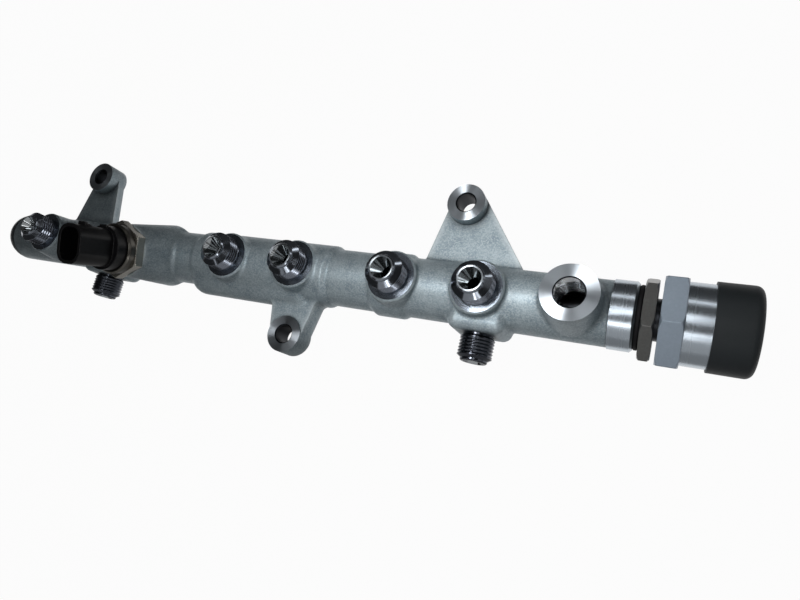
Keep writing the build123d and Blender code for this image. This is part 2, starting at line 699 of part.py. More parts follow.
def valve_seat():
    """Hardened seat with its drilling and cone for the ball."""
    return at_valve(turned([
        (-VALVE_CHAMBER_DEPTH, SEAT_DRILLING_RADIUS),
        (-VALVE_CHAMBER_DEPTH, SEAT_RADIUS - FIT_GAP / 2),
        (SEAT_TOP, SEAT_RADIUS - FIT_GAP / 2),
        (SEAT_TOP, SEAT_MOUTH_RADIUS),
        (SEAT_TOP - SEAT_CONE_DEPTH, SEAT_DRILLING_RADIUS),
    ]))


def valve_ball():
    """Ball that closes the seat."""
    return at_valve(Pos(BALL_CENTRE, 0, 0) * Sphere(BALL_RADIUS))


def valve_plunger():
    """Guided pin that carries the armature's force to the ball."""
    return at_valve(turned([
        (BALL_CENTRE + BALL_RADIUS, 0),
        (BALL_CENTRE + BALL_RADIUS, PLUNGER_TIP_RADIUS),
        (BALL_ROOM_END, PLUNGER_TIP_RADIUS),
        (BALL_ROOM_END, PLUNGER_RADIUS),
        (PLATE_END, PLUNGER_RADIUS),
        (PLATE_END, 0),
    ]))


def armature_plate():
    """Flat armature in front of the coil."""
    return at_valve(shaft(PLATE_RADIUS, PLATE_START, PLATE_END) - shaft(GUIDE_RADIUS, PLATE_START, PLATE_END))


def armature_spring():
    """Coil spring between the armature and the end plate, bent in short straight runs."""
    height = SPRING_FLOOR - PLATE_END - SPRING_WIRE - FIT_GAP
    runs = round(SPRING_TURNS * SPRING_RUNS_PER_TURN)
    step = 2 * pi / SPRING_RUNS_PER_TURN
    points = [
        (SPRING_RADIUS * cos(i * step), SPRING_RADIUS * sin(i * step), height * i / runs)
        for i in range(runs + 1)
    ]
    path = Polyline(*points)
    section = Plane(path @ 0, z_dir=path % 0) * RegularPolygon(SPRING_WIRE / 2, 6)
    coil = sweep(section, path, transition=Transition.RIGHT)
    return at_valve(Pos(PLATE_END + (SPRING_WIRE + FIT_GAP) / 2, 0, 0) * Rot(0, 90, 0) * coil)


def coil_bobbin():
    """Plastic spool around the pole."""
    start = COIL_START + FIT_GAP
    end = COIL_END - FIT_GAP
    inside = POLE_RADIUS + FIT_GAP
    rim = CAN_BORE_RADIUS - FIT_GAP
    return at_valve(turned([
        (start, inside),
        (start, rim),
        (start + BOBBIN_WALL, rim),
        (start + BOBBIN_WALL, inside + BOBBIN_WALL),
        (end - BOBBIN_WALL, inside + BOBBIN_WALL),
        (end - BOBBIN_WALL, rim),
        (end, rim),
        (end, inside),
    ]))


def coil_winding():
    """Copper winding on the spool, as one ring."""
    start = COIL_START + BOBBIN_WALL + 2 * FIT_GAP
    end = COIL_END - BOBBIN_WALL - 2 * FIT_GAP
    inside = POLE_RADIUS + BOBBIN_WALL + 2 * FIT_GAP
    outside = CAN_BORE_RADIUS - BOBBIN_WALL
    return at_valve(shaft(outside, start, end) - shaft(inside, start, end))


def bar(low, high):
    """Rectangular bar between two opposite corners."""
    size = [b - a for a, b in zip(low, high)]
    middle = [(a + b) / 2 for a, b in zip(low, high)]
    return Pos(*middle) * Box(*size)


def valve_pin_form(side, gap):
    """Bent contact strip: up past the armature, inwards in the cap's floor, out into the socket."""
    half = VALVE_PIN_WIDTH / 2 + gap
    thick = VALVE_PIN_THICKNESS / 2 + gap
    outer = VALVE_LEAD_RADIUS
    inner = VALVE_PIN_PITCH / 2
    bend_end = LEAD_BEND + VALVE_PIN_THICKNESS + gap
    lead = bar((COIL_END, outer - thick, -half), (bend_end, outer + thick, half))
    strip = bar((LEAD_BEND - gap, inner - thick, -half), (bend_end, outer + thick, half))
    pin_end = CAP_SOCKET_FLOOR + VALVE_PIN_REACH
    blade = bar((LEAD_BEND - gap, inner - thick, -half), (pin_end, inner + thick, half))
    form = lead + strip + blade
    return form if side > 0 else mirror(form, Plane.XZ)


def end_plate():
    """Steel plate that closes the can, with the spring's pocket and slots for the leads."""
    plate = shaft(CAN_BORE_RADIUS - FIT_GAP, END_PLATE_START, CAN_END)
    plate -= shaft(SPRING_RADIUS + SPRING_WIRE / 2 + SPRING_ROOM, END_PLATE_START, SPRING_FLOOR)
    for side in (-1, 1):
        plate -= valve_pin_form(side, LEAD_SLOT_GAP)
    return at_valve(plate)


def valve_cap():
    """Moulded cap over the can's end, with a recessed two-pin socket in its end face."""
    body = shaft(CAP_RADIUS, CAP_START, CAP_END)
    rim = body.edges().filter_by(GeomType.CIRCLE).sort_by(Axis.X)[-1]
    body = fillet(rim, CAP_RIM)
    body -= shaft(CAN_RADIUS + FIT_GAP, CAP_START, CAP_INSIDE)
    mouth = RectangleRounded(CAP_SOCKET_HEIGHT, CAP_SOCKET_WIDTH, CAP_SOCKET_CORNER)
    body -= Pos(CAP_SOCKET_FLOOR, 0, 0) * Rot(0, 90, 0) * extrude(mouth, CAP_END - CAP_SOCKET_FLOOR)
    for side in (-1, 1):
        body -= valve_pin_form(side, 0)
    return at_valve(body)


def valve_pin(side):
    """One contact of the valve, in its place."""
    return at_valve(valve_pin_form(side, 0))


PIECES = {
    "rail_body": rail_body(),
    "sensor_port": sensor_port(),
    "sensor_cell": sensor_cell(),
    "sensor_board": sensor_board(),
    "sensor_ring": sensor_ring(),
    "sensor_seal": sensor_seal(),
    "sensor_housing": sensor_housing(),
    "valve_body": valve_body(),
    "valve_seal_ring": valve_seal_ring(),
    "valve_o_ring": valve_o_ring(),
    "lock_nut": lock_nut(),
    "valve_seat": valve_seat(),
    "valve_ball": valve_ball(),
    "valve_plunger": valve_plunger(),
    "armature_plate": armature_plate(),
    "armature_spring": armature_spring(),
    "coil_bobbin": coil_bobbin(),
    "coil_winding": coil_winding(),
    "end_plate": end_plate(),
    "valve_cap": valve_cap(),
    "valve_pin_1": valve_pin(-1),
    "valve_pin_2": valve_pin(1),
}
for index in range(SENSOR_PIN_COUNT):
    PIECES[f"sensor_pin_{index + 1}"] = sensor_pin(index)

os.makedirs("parts", exist_ok=True)
for name, piece in PIECES.items():
    export_step(TO_FRAME * piece, f"parts/{name}.step")
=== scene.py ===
import json
import logging
from dataclasses import dataclass, field
from enum import Enum
from math import cos, radians, sin

import bpy
import numpy as np
from mathutils import Matrix, Vector

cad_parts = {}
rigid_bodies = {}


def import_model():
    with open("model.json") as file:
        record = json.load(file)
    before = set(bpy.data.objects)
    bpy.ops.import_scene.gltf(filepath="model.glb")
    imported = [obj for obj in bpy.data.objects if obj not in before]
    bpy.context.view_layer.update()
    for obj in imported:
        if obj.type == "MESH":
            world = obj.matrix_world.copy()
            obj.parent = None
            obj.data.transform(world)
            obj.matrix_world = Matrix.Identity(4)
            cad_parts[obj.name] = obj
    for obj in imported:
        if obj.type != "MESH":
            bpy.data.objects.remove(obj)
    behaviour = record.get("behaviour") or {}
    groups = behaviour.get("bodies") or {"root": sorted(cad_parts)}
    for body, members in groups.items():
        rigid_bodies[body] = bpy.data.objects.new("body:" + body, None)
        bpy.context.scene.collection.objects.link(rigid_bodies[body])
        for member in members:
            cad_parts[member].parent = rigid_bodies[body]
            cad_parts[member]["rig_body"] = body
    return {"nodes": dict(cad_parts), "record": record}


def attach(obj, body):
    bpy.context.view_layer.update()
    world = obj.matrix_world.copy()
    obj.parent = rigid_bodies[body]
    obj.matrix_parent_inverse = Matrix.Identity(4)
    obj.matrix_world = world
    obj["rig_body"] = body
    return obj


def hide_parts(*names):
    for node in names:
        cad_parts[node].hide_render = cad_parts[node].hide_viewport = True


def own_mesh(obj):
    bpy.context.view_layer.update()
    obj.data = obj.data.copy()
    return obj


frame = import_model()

log = logging.getLogger("fuel_rail")
MM = 0.001
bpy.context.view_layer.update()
RAIL = "rail"
# UV map on which U is the radius of a turned ring
TURNING_MAP = "turning"
# Edges that bend by more than this many degrees stay sharp
SHARP_ANGLE = 32.0
# Grid in metres on which loose CAD corners become one vertex
MERGE_DISTANCE = 1e-6
# Keeps a triangle without area from dividing by zero
SHORTEST_NORMAL = 1e-20
# Share of X in a direction that counts as along the rail
NEARLY_ALONG = 0.9
# Share of Z in the normal of a face that points up
FACING_UP = 0.99

Triple = tuple[float, float, float]
Feed = bpy.types.NodeSocket | float


class Slot(Enum):
    """Material slots of the record."""

    FORGED = "forged_steel"
    SENSOR_STEEL = "sensor_steel"
    CRIMP_RING = "crimp_ring"
    BLACK_PLASTIC = "black_plastic"
    CAP_PLASTIC = "cap_plastic"
    TURNED = "turned_steel"
    DARK_NUT = "dark_nut"
    RUBBER = "black_rubber"
    CONTACTS = "contacts"
    HARD_STEEL = "hard_steel"
    SPOOL = "spool_plastic"
    COPPER = "copper"
    BOARD = "circuit_board"


class Region(Enum):
    """Finishes on the rail, in the order of its material slots."""

    FORGED = 0
    STUB = 1
    TURNED = 2
    # Bore, drillings and holes take a near-black finish: painted shade.
    HOLE = 3
    # Turned dome of the closed end, in darkened steel: painted shade.
    DOME = 4
    # Pump connections, in a darkened copy of the stub steel: painted shade.
    INLET = 5


class ValveRegion(Enum):
    """Finishes on the valve's body, in the order of its material slots."""

    TURNED = 0
    HEXAGON = 1
    SHANK = 2


def mount(name: str) -> dict:
    """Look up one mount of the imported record.

    Args:
        name: The mount's name.

    Returns:
        The mount's entry, with pos_m, axis and dims.
    """
    return next(m for m in frame["record"]["mounts"] if m["name"] == name)


def welded(node: str) -> tuple[np.ndarray, np.ndarray]:
    """Merge the loose triangles of a CAD node into one shared mesh.

    Args:
        node: Name of the CAD node.

    Returns:
        Vertices as an N by 3 array in metres, and triangles as an M by 3 array of indices.
    """
    mesh = frame["nodes"][node].data
    points = np.zeros(len(mesh.vertices) * 3)
    mesh.vertices.foreach_get("co", points)
    mesh.calc_loop_triangles()
    corners = np.zeros(len(mesh.loop_triangles) * 3, dtype=np.int64)
    mesh.loop_triangles.foreach_get("vertices", corners)
    keys = np.round(points.reshape(-1, 3) / MERGE_DISTANCE).astype(np.int64)
    _, first, place = np.unique(keys, axis=0, return_index=True, return_inverse=True)
    triangles = place.ravel()[corners].reshape(-1, 3)
    a, b, c = triangles.T
    whole = (a != b) & (b != c) & (a != c)
    return points.reshape(-1, 3)[first], triangles[whole]


def facing(points: np.ndarray, triangles: np.ndarray) -> tuple[np.ndarray, np.ndarray]:
    """Find the middle and the unit normal of each triangle.

    Args:
        points: Vertices.
        triangles: Vertex indices of each triangle.

    Returns:
        Centres and normals, each an M by 3 array.
    """
    corner = points[triangles]
    normal = np.cross(corner[:, 1] - corner[:, 0], corner[:, 2] - corner[:, 0])
    length = np.linalg.norm(normal, axis=1, keepdims=True)
    return corner.mean(axis=1), normal / np.maximum(length, SHORTEST_NORMAL)


def piece(
    name: str,
    points: np.ndarray,
    faces: np.ndarray,
    materials: list[bpy.types.Material],
    body: str = RAIL,
) -> bpy.types.Object:
    """Put a mesh into the scene as a finished piece that rides on a body.

    Args:
        name: Object name.
        points: Vertices in the row frame, in metres.
        faces: Vertex indices of each triangle or quad.
        materials: Materials of the piece, in slot order.
        body: The CAD body it moves with.

    Returns:
        The new object.
    """
    mesh = bpy.data.meshes.new(name)
    mesh.from_pydata(points.tolist(), [], faces.tolist())
    for material in materials:
        mesh.materials.append(material)
    mesh.shade_smooth()
    obj = bpy.data.objects.new(name, mesh)
    bpy.context.scene.collection.objects.link(obj)
    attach(obj, body)
    log.info("%s: %d faces", name, len(faces))
    return obj


def soften(obj: bpy.types.Object) -> None:
    """Shade a merged CAD copy smoothly, with its real edges kept sharp.

    Args:
        obj: The piece.
    """
    obj.data.set_sharp_from_angle(angle=radians(SHARP_ANGLE))
    even = obj.modifiers.new("even_normals", "WEIGHTED_NORMAL")
    even.keep_sharp = True


def smooth_copy(
    node: str, materials: list[bpy.types.Material]
) -> tuple[bpy.types.Object, np.ndarray, np.ndarray]:
    """Stand a smoothly shaded merged copy in for a CAD node, on the node's own body.

    Args:
        node: Name of the CAD node.
        materials: Materials in slot order.

    Returns:
        The copy, its vertices and its triangles.
    """
    points, triangles = welded(node)
    copy = piece(f"{node}_skin", points, triangles, materials, frame["nodes"][node]["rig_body"])
    soften(copy)
    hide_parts(node)
    return copy, points, triangles


def grid_faces(rows: int, columns: int) -> np.ndarray:
    """Quads of a grid that is closed in its second parameter.

    Args:
        rows: Number of points in the open direction.
        columns: Number of points round the closed direction.

    Returns:
        Vertex indices, one quad per row; point (i, j) is vertex i * columns + j.
    """
    i, j = np.meshgrid(np.arange(rows - 1), np.arange(columns), indexing="ij")
    after = (j + 1) % columns
    low, high = i * columns, (i + 1) * columns
    return np.stack([low + j, low + after, high + after, high + j], axis=-1).reshape(-1, 4)


def polar_grid(steps: np.ndarray, columns: int) -> tuple[np.ndarray, np.ndarray]:
    """Grid of a round surface: the steps in one direction, even angles over a full turn in the other.

    Args:
        steps: Values of the open parameter, such as heights or radii.
        columns: Number of angles.

    Returns:
        The open parameter and the angle in radians at each grid point.
    """
    return np.meshgrid(steps, np.arange(columns) * 2 * np.pi / columns, indexing="ij")


@dataclass(frozen=True)
class Axle:
    """A line in space with two cross directions, on which round features are drawn.

    Attributes:
        origin: A point on the line.
        along: Unit direction of the line.
    """

    origin: np.ndarray
    along: np.ndarray

    @property
    def across(self) -> tuple[np.ndarray, np.ndarray]:
        """Find two unit directions square to the line, right-handed with it.

        Returns:
            The two directions.
        """
        lengthwise = abs(self.along[0]) >= NEARLY_ALONG
        helper = np.array([0.0, 1.0, 0.0]) if lengthwise else np.array([1.0, 0.0, 0.0])
        first = np.cross(helper, self.along)
        first /= np.linalg.norm(first)
        return first, np.cross(self.along, first)

    def measure(self, points: np.ndarray) -> tuple[np.ndarray, np.ndarray]:
        """Height along the line and distance from it.

        Args:
            points: Points to measure.

        Returns:
            Heights and radii.
        """
        offset = points - self.origin
        height = offset @ self.along
        return height, np.linalg.norm(offset - height[:, None] * self.along, axis=1)

    def surface(self, height: np.ndarray, radius: np.ndarray, turn: np.ndarray) -> np.ndarray:
        """Points at height h and radius r: origin + h along + r (cos t first + sin t second).

        Args:
            height: Heights, any shape.
            radius: Radii, same shape.
            turn: Angles in radians, same shape.

        Returns:
            Points as an N by 3 array.
        """
        first, second = self.across
        ring = np.cos(turn)[..., None] * first + np.sin(turn)[..., None] * second
        return (self.origin + height[..., None] * self.along + radius[..., None] * ring).reshape(-1, 3)


def axle_of(name: str) -> Axle:
    """Line of a mount of the record, from its place along its axis."""
    entry = mount(name)
    return Axle(np.array(entry["pos_m"]), np.array(entry["axis"], dtype=float))


def new_group(
    name: str, inputs: dict[str, float], outputs: list[str]
) -> tuple[bpy.types.ShaderNodeTree, bpy.types.Node, bpy.types.Node]:
    """Start a shader node group whose sockets are all numbers.

    Args:
        name: Group name.
        inputs: Default value of each input, by its name.
        outputs: Names of the outputs.

    Returns:
        The group, its input node and its output node.
    """
    group = bpy.data.node_groups.new(name, "ShaderNodeTree")
    for label, value in inputs.items():
        socket = group.interface.new_socket(name=label, in_out="INPUT", socket_type="NodeSocketFloat")
        socket.default_value = value
    for label in outputs:
        group.interface.new_socket(name=label, in_out="OUTPUT", socket_type="NodeSocketFloat")
    return group, group.nodes.new("NodeGroupInput"), group.nodes.new("NodeGroupOutput")


def node(tree: bpy.types.NodeTree, kind: str, **settings: object) -> bpy.types.Node:
    """Add a shader node and set its properties.

    Args:
        tree: Node tree to add to.
        kind: Node type.
        settings: Properties of the node.

    Returns:
        The node.
    """
    made = tree.nodes.new(kind)
    for key, value in settings.items():
        setattr(made, key, value)
    return made


def maths(tree: bpy.types.NodeTree, operation: str, first: Feed, second: Feed) -> bpy.types.NodeSocket:
    """Add a Math node fed by sockets or plain numbers.

    Args:
        tree: Node tree to add to.
        operation: Name of the operation.
        first: Socket or number.
        second: Socket or number.

    Returns:
        The value socket.
    """
    made = node(tree, "ShaderNodeMath", operation=operation)
    for index, value in enumerate((first, second)):
        if isinstance(value, (int, float)):
            made.inputs[index].default_value = value
        else:
            tree.links.new(value, made.inputs[index])
    return made.outputs[0]


@dataclass(frozen=True)
class BlastGrain:
    """Grain of a shot-blasted skin: fine cells for sparkle and soft clouds, from Object coordinates.

    Attributes:
        fine_detail: Octaves of the fine noise.
        cloud_detail: Octaves of the clouds.
        rarity: Power that leaves only few cells bright.
        fine_share: Part of the tone that the fine noise gives, the rest being clouds.
    """

    fine_detail: float = 3.0
    cloud_detail: float = 2.0
    rarity: float = 3.0
    fine_share: float = 0.5

    def build(self) -> bpy.types.ShaderNodeTree:
        """Make the group.

        Returns:
            The node group, with outputs Tone and Height, both about 0 to 1.
        """
        group, source, sink = new_group(
            "blast_grain", {"Grain": 1400.0, "Cloud": 60.0, "Sparkle": 0.4}, ["Tone", "Height"]
        )
        place = node(group, "ShaderNodeTexCoord")
        fine = node(group, "ShaderNodeTexNoise", noise_dimensions="3D")
        fine.inputs["Detail"].default_value = self.fine_detail
        cells = node(group, "ShaderNodeTexVoronoi", feature="F1")
        cloud = node(group, "ShaderNodeTexNoise", noise_dimensions="3D")
        cloud.inputs["Detail"].default_value = self.cloud_detail
        for pattern, size in ((fine, "Grain"), (cells, "Grain"), (cloud, "Cloud")):
            group.links.new(place.outputs["Object"], pattern.inputs["Vector"])
            group.links.new(source.outputs[size], pattern.inputs["Scale"])
        spark = node(group, "ShaderNodeSeparateColor")
        group.links.new(cells.outputs["Color"], spark.inputs["Color"])
        rare = maths(group, "POWER", spark.outputs["Red"], self.rarity)
        bright = maths(group, "MULTIPLY", rare, source.outputs["Sparkle"])
        small = maths(group, "MULTIPLY", fine.outputs["Fac"], self.fine_share)
        large = maths(group, "MULTIPLY", cloud.outputs["Fac"], 1.0 - self.fine_share)
        base = maths(group, "ADD", small, large)
        group.links.new(maths(group, "ADD", base, bright), sink.inputs["Tone"])
        group.links.new(fine.outputs["Fac"], sink.inputs["Height"])
        return group


@dataclass(frozen=True)
class ToolMarks:
    """Fine rings left by turning, which change only along X of the Object coordinates.

    Attributes:
        detail: Octaves of the noise.
    """

    detail: float = 3.0

    def build(self) -> bpy.types.ShaderNodeTree:
        """Make the group.

        Returns:
            The node group, with outputs Tone and Height, both about 0 to 1.
        """
        group, source, sink = new_group("tool_marks", {"Pitch": 2500.0}, ["Tone", "Height"])
        place = node(group, "ShaderNodeTexCoord")
        split = node(group, "ShaderNodeSeparateXYZ")
        group.links.new(place.outputs["Object"], split.inputs["Vector"])
        rings = node(group, "ShaderNodeTexNoise", noise_dimensions="1D")
        rings.inputs["Scale"].default_value = 1.0
        rings.inputs["Detail"].default_value = self.detail
        run = maths(group, "MULTIPLY", split.outputs["X"], source.outputs["Pitch"])
        group.links.new(run, rings.inputs["W"])
        for output in ("Tone", "Height"):
            group.links.new(rings.outputs["Fac"], sink.inputs[output])
        return group


class Groups:
    """Shader groups that several finishes share, each built once."""

    grain = BlastGrain().build()
    marks = ToolMarks().build()


@dataclass(frozen=True)
class Finish:
    """A plain finish: one colour with its gloss, on a Principled shader.

    Attributes:
        name: Material name.
        colour: Base colour, linear.
        metallic: 0 for plastic and rubber, 1 for bare metal.
        roughness: Gloss, from 0 for a mirror.
        edge: Radius in metres over which edges look rounded, or 0.
        anisotropy: Stretch of highlights along the tangent.
        specular: Specular level.
        edge_rays: Rays that look for an edge.
    """

    name: str
    colour: Triple
    metallic: float = 0.0
    roughness: float = 0.5
    edge: float = 0.0
    anisotropy: float = 0.0
    specular: float = 0.5
    edge_rays: int = 6

    def start(self) -> tuple[bpy.types.Material, bpy.types.ShaderNodeTree, bpy.types.Node]:
        """Make the material with its Principled shader.

        Returns:
            The material, its tree and the shader node.
        """
        material = bpy.data.materials.new(self.name)
        material.use_nodes = True
        tree = material.node_tree
        shader = tree.nodes["Principled BSDF"]
        shader.inputs["Base Color"].default_value = (*self.colour, 1.0)
        shader.inputs["Metallic"].default_value = self.metallic
        shader.inputs["Roughness"].default_value = self.roughness
        shader.inputs["Anisotropic"].default_value = self.anisotropy
        shader.inputs["Specular IOR Level"].default_value = self.specular
        if self.edge > 0.0:
            rounded = node(tree, "ShaderNodeBevel", samples=self.edge_rays)
            rounded.inputs["Radius"].default_value = self.edge
            tree.links.new(rounded.outputs["Normal"], shader.inputs["Normal"])
        return material, tree, shader

    def engrave(self, shader: bpy.types.Node, height: bpy.types.NodeSocket, depth: float) -> None:
        """Bump the shader's normal, on top of its rounded edges if it has them.

        Args:
            shader: The Principled shader.
            height: Socket with the pattern's height, from 0 to 1.
            depth: Full height of the pattern in metres.
        """
        tree = shader.id_data
        relief = node(tree, "ShaderNodeBump")
        relief.inputs["Strength"].default_value = 1.0
        relief.inputs["Distance"].default_value = depth
        tree.links.new(height, relief.inputs["Height"])
        if shader.inputs["Normal"].is_linked:
            tree.links.new(shader.inputs["Normal"].links[0].from_socket, relief.inputs["Normal"])
        tree.links.new(relief.outputs["Normal"], shader.inputs["Normal"])

    def build(self) -> bpy.types.Material:
        """Make the finished material."""
        return self.start()[0]


@dataclass(frozen=True)
class GrainFinish(Finish):
    """A blasted or moulded finish: two tones and a bump that follow the blast grain.

    Attributes:
        dark: Colour in the low spots.
        grain: Grains per metre.
        cloud: Clouds per metre.
        sparkle: Strength of single bright grains.
        bump: Height of the grain in metres.
        tone_limits: Tones of the grain that give the dark colour and the full one.
        wear_highlight: How far outer edges turn to the lighter colour, from 0 to 1: a painted highlight on
            ridges and fillets, partly rubbed zinc.
        wear_highlight_colour: Colour of a lightened edge.
        wear_highlight_reach: How far from an outer edge the lightening reaches, in metres.
        wear_highlight_limits: Shares of open rays at which the lightening starts and is full.
        crease_shade: How far inner corners darken, from 0 to 1: painted shade.
        crease_shade_colour: Colour of a shaded corner.
        crease_shade_reach: How far from an inner corner the painted shade reaches, in metres.
        crease_shade_limits: Shares of open rays at which the painted shade starts and is full.
        shade_rays: Rays that look for edges and corners.
    """

    dark: Triple = (0.1, 0.1, 0.1)
    grain: float = 1400.0
    cloud: float = 60.0
    sparkle: float = 0.4
    bump: float = 0.00004
    tone_limits: tuple[float, float] = (0.3, 0.75)
    # Lighter outer edges: painted highlight on ridges and fillets, partly rubbed zinc.
    wear_highlight: float = 0.0
    wear_highlight_colour: Triple = (0.66, 0.72, 0.74)
    wear_highlight_reach: float = 0.0015
    wear_highlight_limits: tuple[float, float] = (0.97, 0.60)
    # Darker inner corners: painted shade.
    crease_shade: float = 0.0
    crease_shade_colour: Triple = (0.03, 0.036, 0.04)
    crease_shade_reach: float = 0.006
    crease_shade_limits: tuple[float, float] = (0.95, 0.45)
    shade_rays: int = 8

    def mask(
        self, value: bpy.types.NodeSocket, limits: tuple[float, float], full: float
    ) -> bpy.types.NodeSocket:
        """Map a value to a mask that runs from 0 at the first limit to full at the second.

        Args:
            value: Socket to map.
            limits: Values at which the mask starts and is full.
            full: The mask's largest value.

        Returns:
            The mask's socket.
        """
        tree = value.id_data
        spread = node(tree, "ShaderNodeMapRange")
        spread.inputs["From Min"].default_value = limits[0]
        spread.inputs["From Max"].default_value = limits[1]
        spread.inputs["To Max"].default_value = full
        tree.links.new(value, spread.inputs["Value"])
        return spread.outputs["Result"]

    def tinted(
        self, tone: bpy.types.NodeSocket, tint: Triple, mask: bpy.types.NodeSocket
    ) -> bpy.types.NodeSocket:
        """Blend a tint into a colour.

        Args:
            tone: Colour socket of the plain finish.
            tint: Colour that is blended in.
            mask: Socket that tells how much of it.

        Returns:
            Colour socket of the blend.
        """
        tree = tone.id_data
        mixed = node(tree, "ShaderNodeMix", data_type="RGBA")
        mixed.inputs["B"].default_value = (*tint, 1.0)
        tree.links.new(mask, mixed.inputs["Factor"])
        tree.links.new(tone, mixed.inputs["A"])
        return mixed.outputs["Result"]

    def rubbed_highlight(self, tone: bpy.types.NodeSocket) -> bpy.types.NodeSocket:
        """Paint a highlight on outer edges, partly as rubbed zinc: lighten where rays cast into the solid
        soon meet its far skin.

        Args:
            tone: Colour socket of the plain finish.

        Returns:
            Colour socket with the painted edge highlight.
        """
        depth = node(
            tone.id_data, "ShaderNodeAmbientOcclusion", inside=True, only_local=True, samples=self.shade_rays
        )
        depth.inputs["Distance"].default_value = self.wear_highlight_reach
        return self.tinted(tone, self.wear_highlight_colour, self.mask(depth.outputs["AO"], self.wear_highlight_limits, self.wear_highlight))

    def painted_crease_shade(self, tone: bpy.types.NodeSocket) -> bpy.types.NodeSocket:
        """Paint shade into inner corners, which are where few rays cast off the surface get away.

        Args:
            tone: Colour socket of the plain finish.

        Returns:
            Colour socket with the painted corner shade.
        """
        shelter = node(tone.id_data, "ShaderNodeAmbientOcclusion", only_local=True, samples=self.shade_rays)
        shelter.inputs["Distance"].default_value = self.crease_shade_reach
        return self.tinted(tone, self.crease_shade_colour, self.mask(shelter.outputs["AO"], self.crease_shade_limits, self.crease_shade))

    def build(self) -> bpy.types.Material:
        """Make the finished material.

        Returns:
            The material.
        """
        material, tree, shader = self.start()
        grain = node(tree, "ShaderNodeGroup", node_tree=Groups.grain)
        grain.inputs["Grain"].default_value = self.grain
        grain.inputs["Cloud"].default_value = self.cloud
        grain.inputs["Sparkle"].default_value = self.sparkle
        tone = node(tree, "ShaderNodeMix", data_type="RGBA")
        tone.inputs["A"].default_value = (*self.dark, 1.0)
        tone.inputs["B"].default_value = (*self.colour, 1.0)
        tree.links.new(self.mask(grain.outputs["Tone"], self.tone_limits, 1.0), tone.inputs["Factor"])
        colour = tone.outputs["Result"]
        # Lighter outer edges: painted highlight, partly rubbed zinc.
        if self.wear_highlight > 0.0:
            colour = self.rubbed_highlight(colour)
        # Darker inner corners: painted shade.
        if self.crease_shade > 0.0:
            colour = self.painted_crease_shade(colour)
        tree.links.new(colour, shader.inputs["Base Color"])
        self.engrave(shader, grain.outputs["Height"], self.bump)
        return material


@dataclass(frozen=True)
class TurnedFinish(Finish):
    """Bright steel turned about the rail axis, with rings of fine tool marks.

    Attributes:
        pitch: Tool marks per metre.
        depth: Height of the marks in metres.
        spread: Change of roughness from ring to ring.
        smoothest: Least roughness of a ring.
    """

    pitch: float = 2500.0
    depth: float = 0.0000008
    spread: float = 0.05
    smoothest: float = 0.02

    def build(self) -> bpy.types.Material:
        """Make the finished material.

        Returns:
            The material.
        """
        material, tree, shader = self.start()
        marks = node(tree, "ShaderNodeGroup", node_tree=Groups.marks)
        marks.inputs["Pitch"].default_value = self.pitch
        gloss = node(tree, "ShaderNodeMapRange")
        gloss.inputs["To Min"].default_value = max(self.smoothest, self.roughness - self.spread)
        gloss.inputs["To Max"].default_value = self.roughness + self.spread
        tree.links.new(marks.outputs["Tone"], gloss.inputs["Value"])
        tree.links.new(gloss.outputs["Result"], shader.inputs["Roughness"])
        self.engrave(shader, marks.outputs["Height"], self.depth)
        return material


@dataclass(frozen=True)
class FacedFinish(Finish):
    """A face turned flat: highlights stretch along the radius, which is U of the turning map."""

    def build(self) -> bpy.types.Material:
        """Make the finished material.

        Returns:
            The material.
        """
        material, tree, shader = self.start()
        radial = node(tree, "ShaderNodeTangent", direction_type="UV_MAP", uv_map=TURNING_MAP)
        tree.links.new(radial.outputs["Tangent"], shader.inputs["Tangent"])
        return material


# The forging's darker inner corners are painted shade.
# The forging's lighter outer edges are a painted highlight, partly rubbed zinc.
FORGED = GrainFinish(
    "zinc_forging", (0.42, 0.49, 0.52), metallic=0.42, roughness=0.47, dark=(0.19, 0.25, 0.295), edge=0.0006,
    grain=1900.0, cloud=140.0, sparkle=0.5, bump=0.00008, specular=0.3,
    wear_highlight=0.5, wear_highlight_reach=0.0035, crease_shade=0.85,
)
STUB_STEEL = Finish("stub_steel", (0.25, 0.275, 0.315), metallic=1.0, roughness=0.12, edge=0.0003)
THREAD_STEEL = Finish("thread_steel", (0.21, 0.23, 0.27), metallic=1.0, roughness=0.17)
FACED_STEEL = FacedFinish("faced_steel", (0.38, 0.415, 0.45), metallic=1.0, roughness=0.28, anisotropy=0.97)
# Darker copy of the faced steel for the outlets' shoulders: painted shade at the stubs' base.
FACED_SHADED = FacedFinish("faced_shoulder_painted_shade", (0.22, 0.25, 0.29), metallic=1.0, roughness=0.22, anisotropy=0.95)
CONE_STEEL = Finish("sealing_cone", (0.43, 0.455, 0.47), metallic=1.0, roughness=0.08)
BRIGHT_TURNED = TurnedFinish("bright_turned", (0.42, 0.47, 0.52), metallic=1.0, roughness=0.25, edge=0.0003)
# Turned steel of the closed end, darkened: painted shade of the dim end.
DOME_SHADED_STEEL = Finish("dome_steel_painted_shade", (0.075, 0.09, 0.10), metallic=0.4, roughness=0.42)
# Stub steel darkened for the pump connections: painted shade.
INLET_SHADED_STEEL = Finish("inlet_steel_painted_shade", (0.07, 0.076, 0.09), metallic=1.0, roughness=0.16, edge=0.0003)
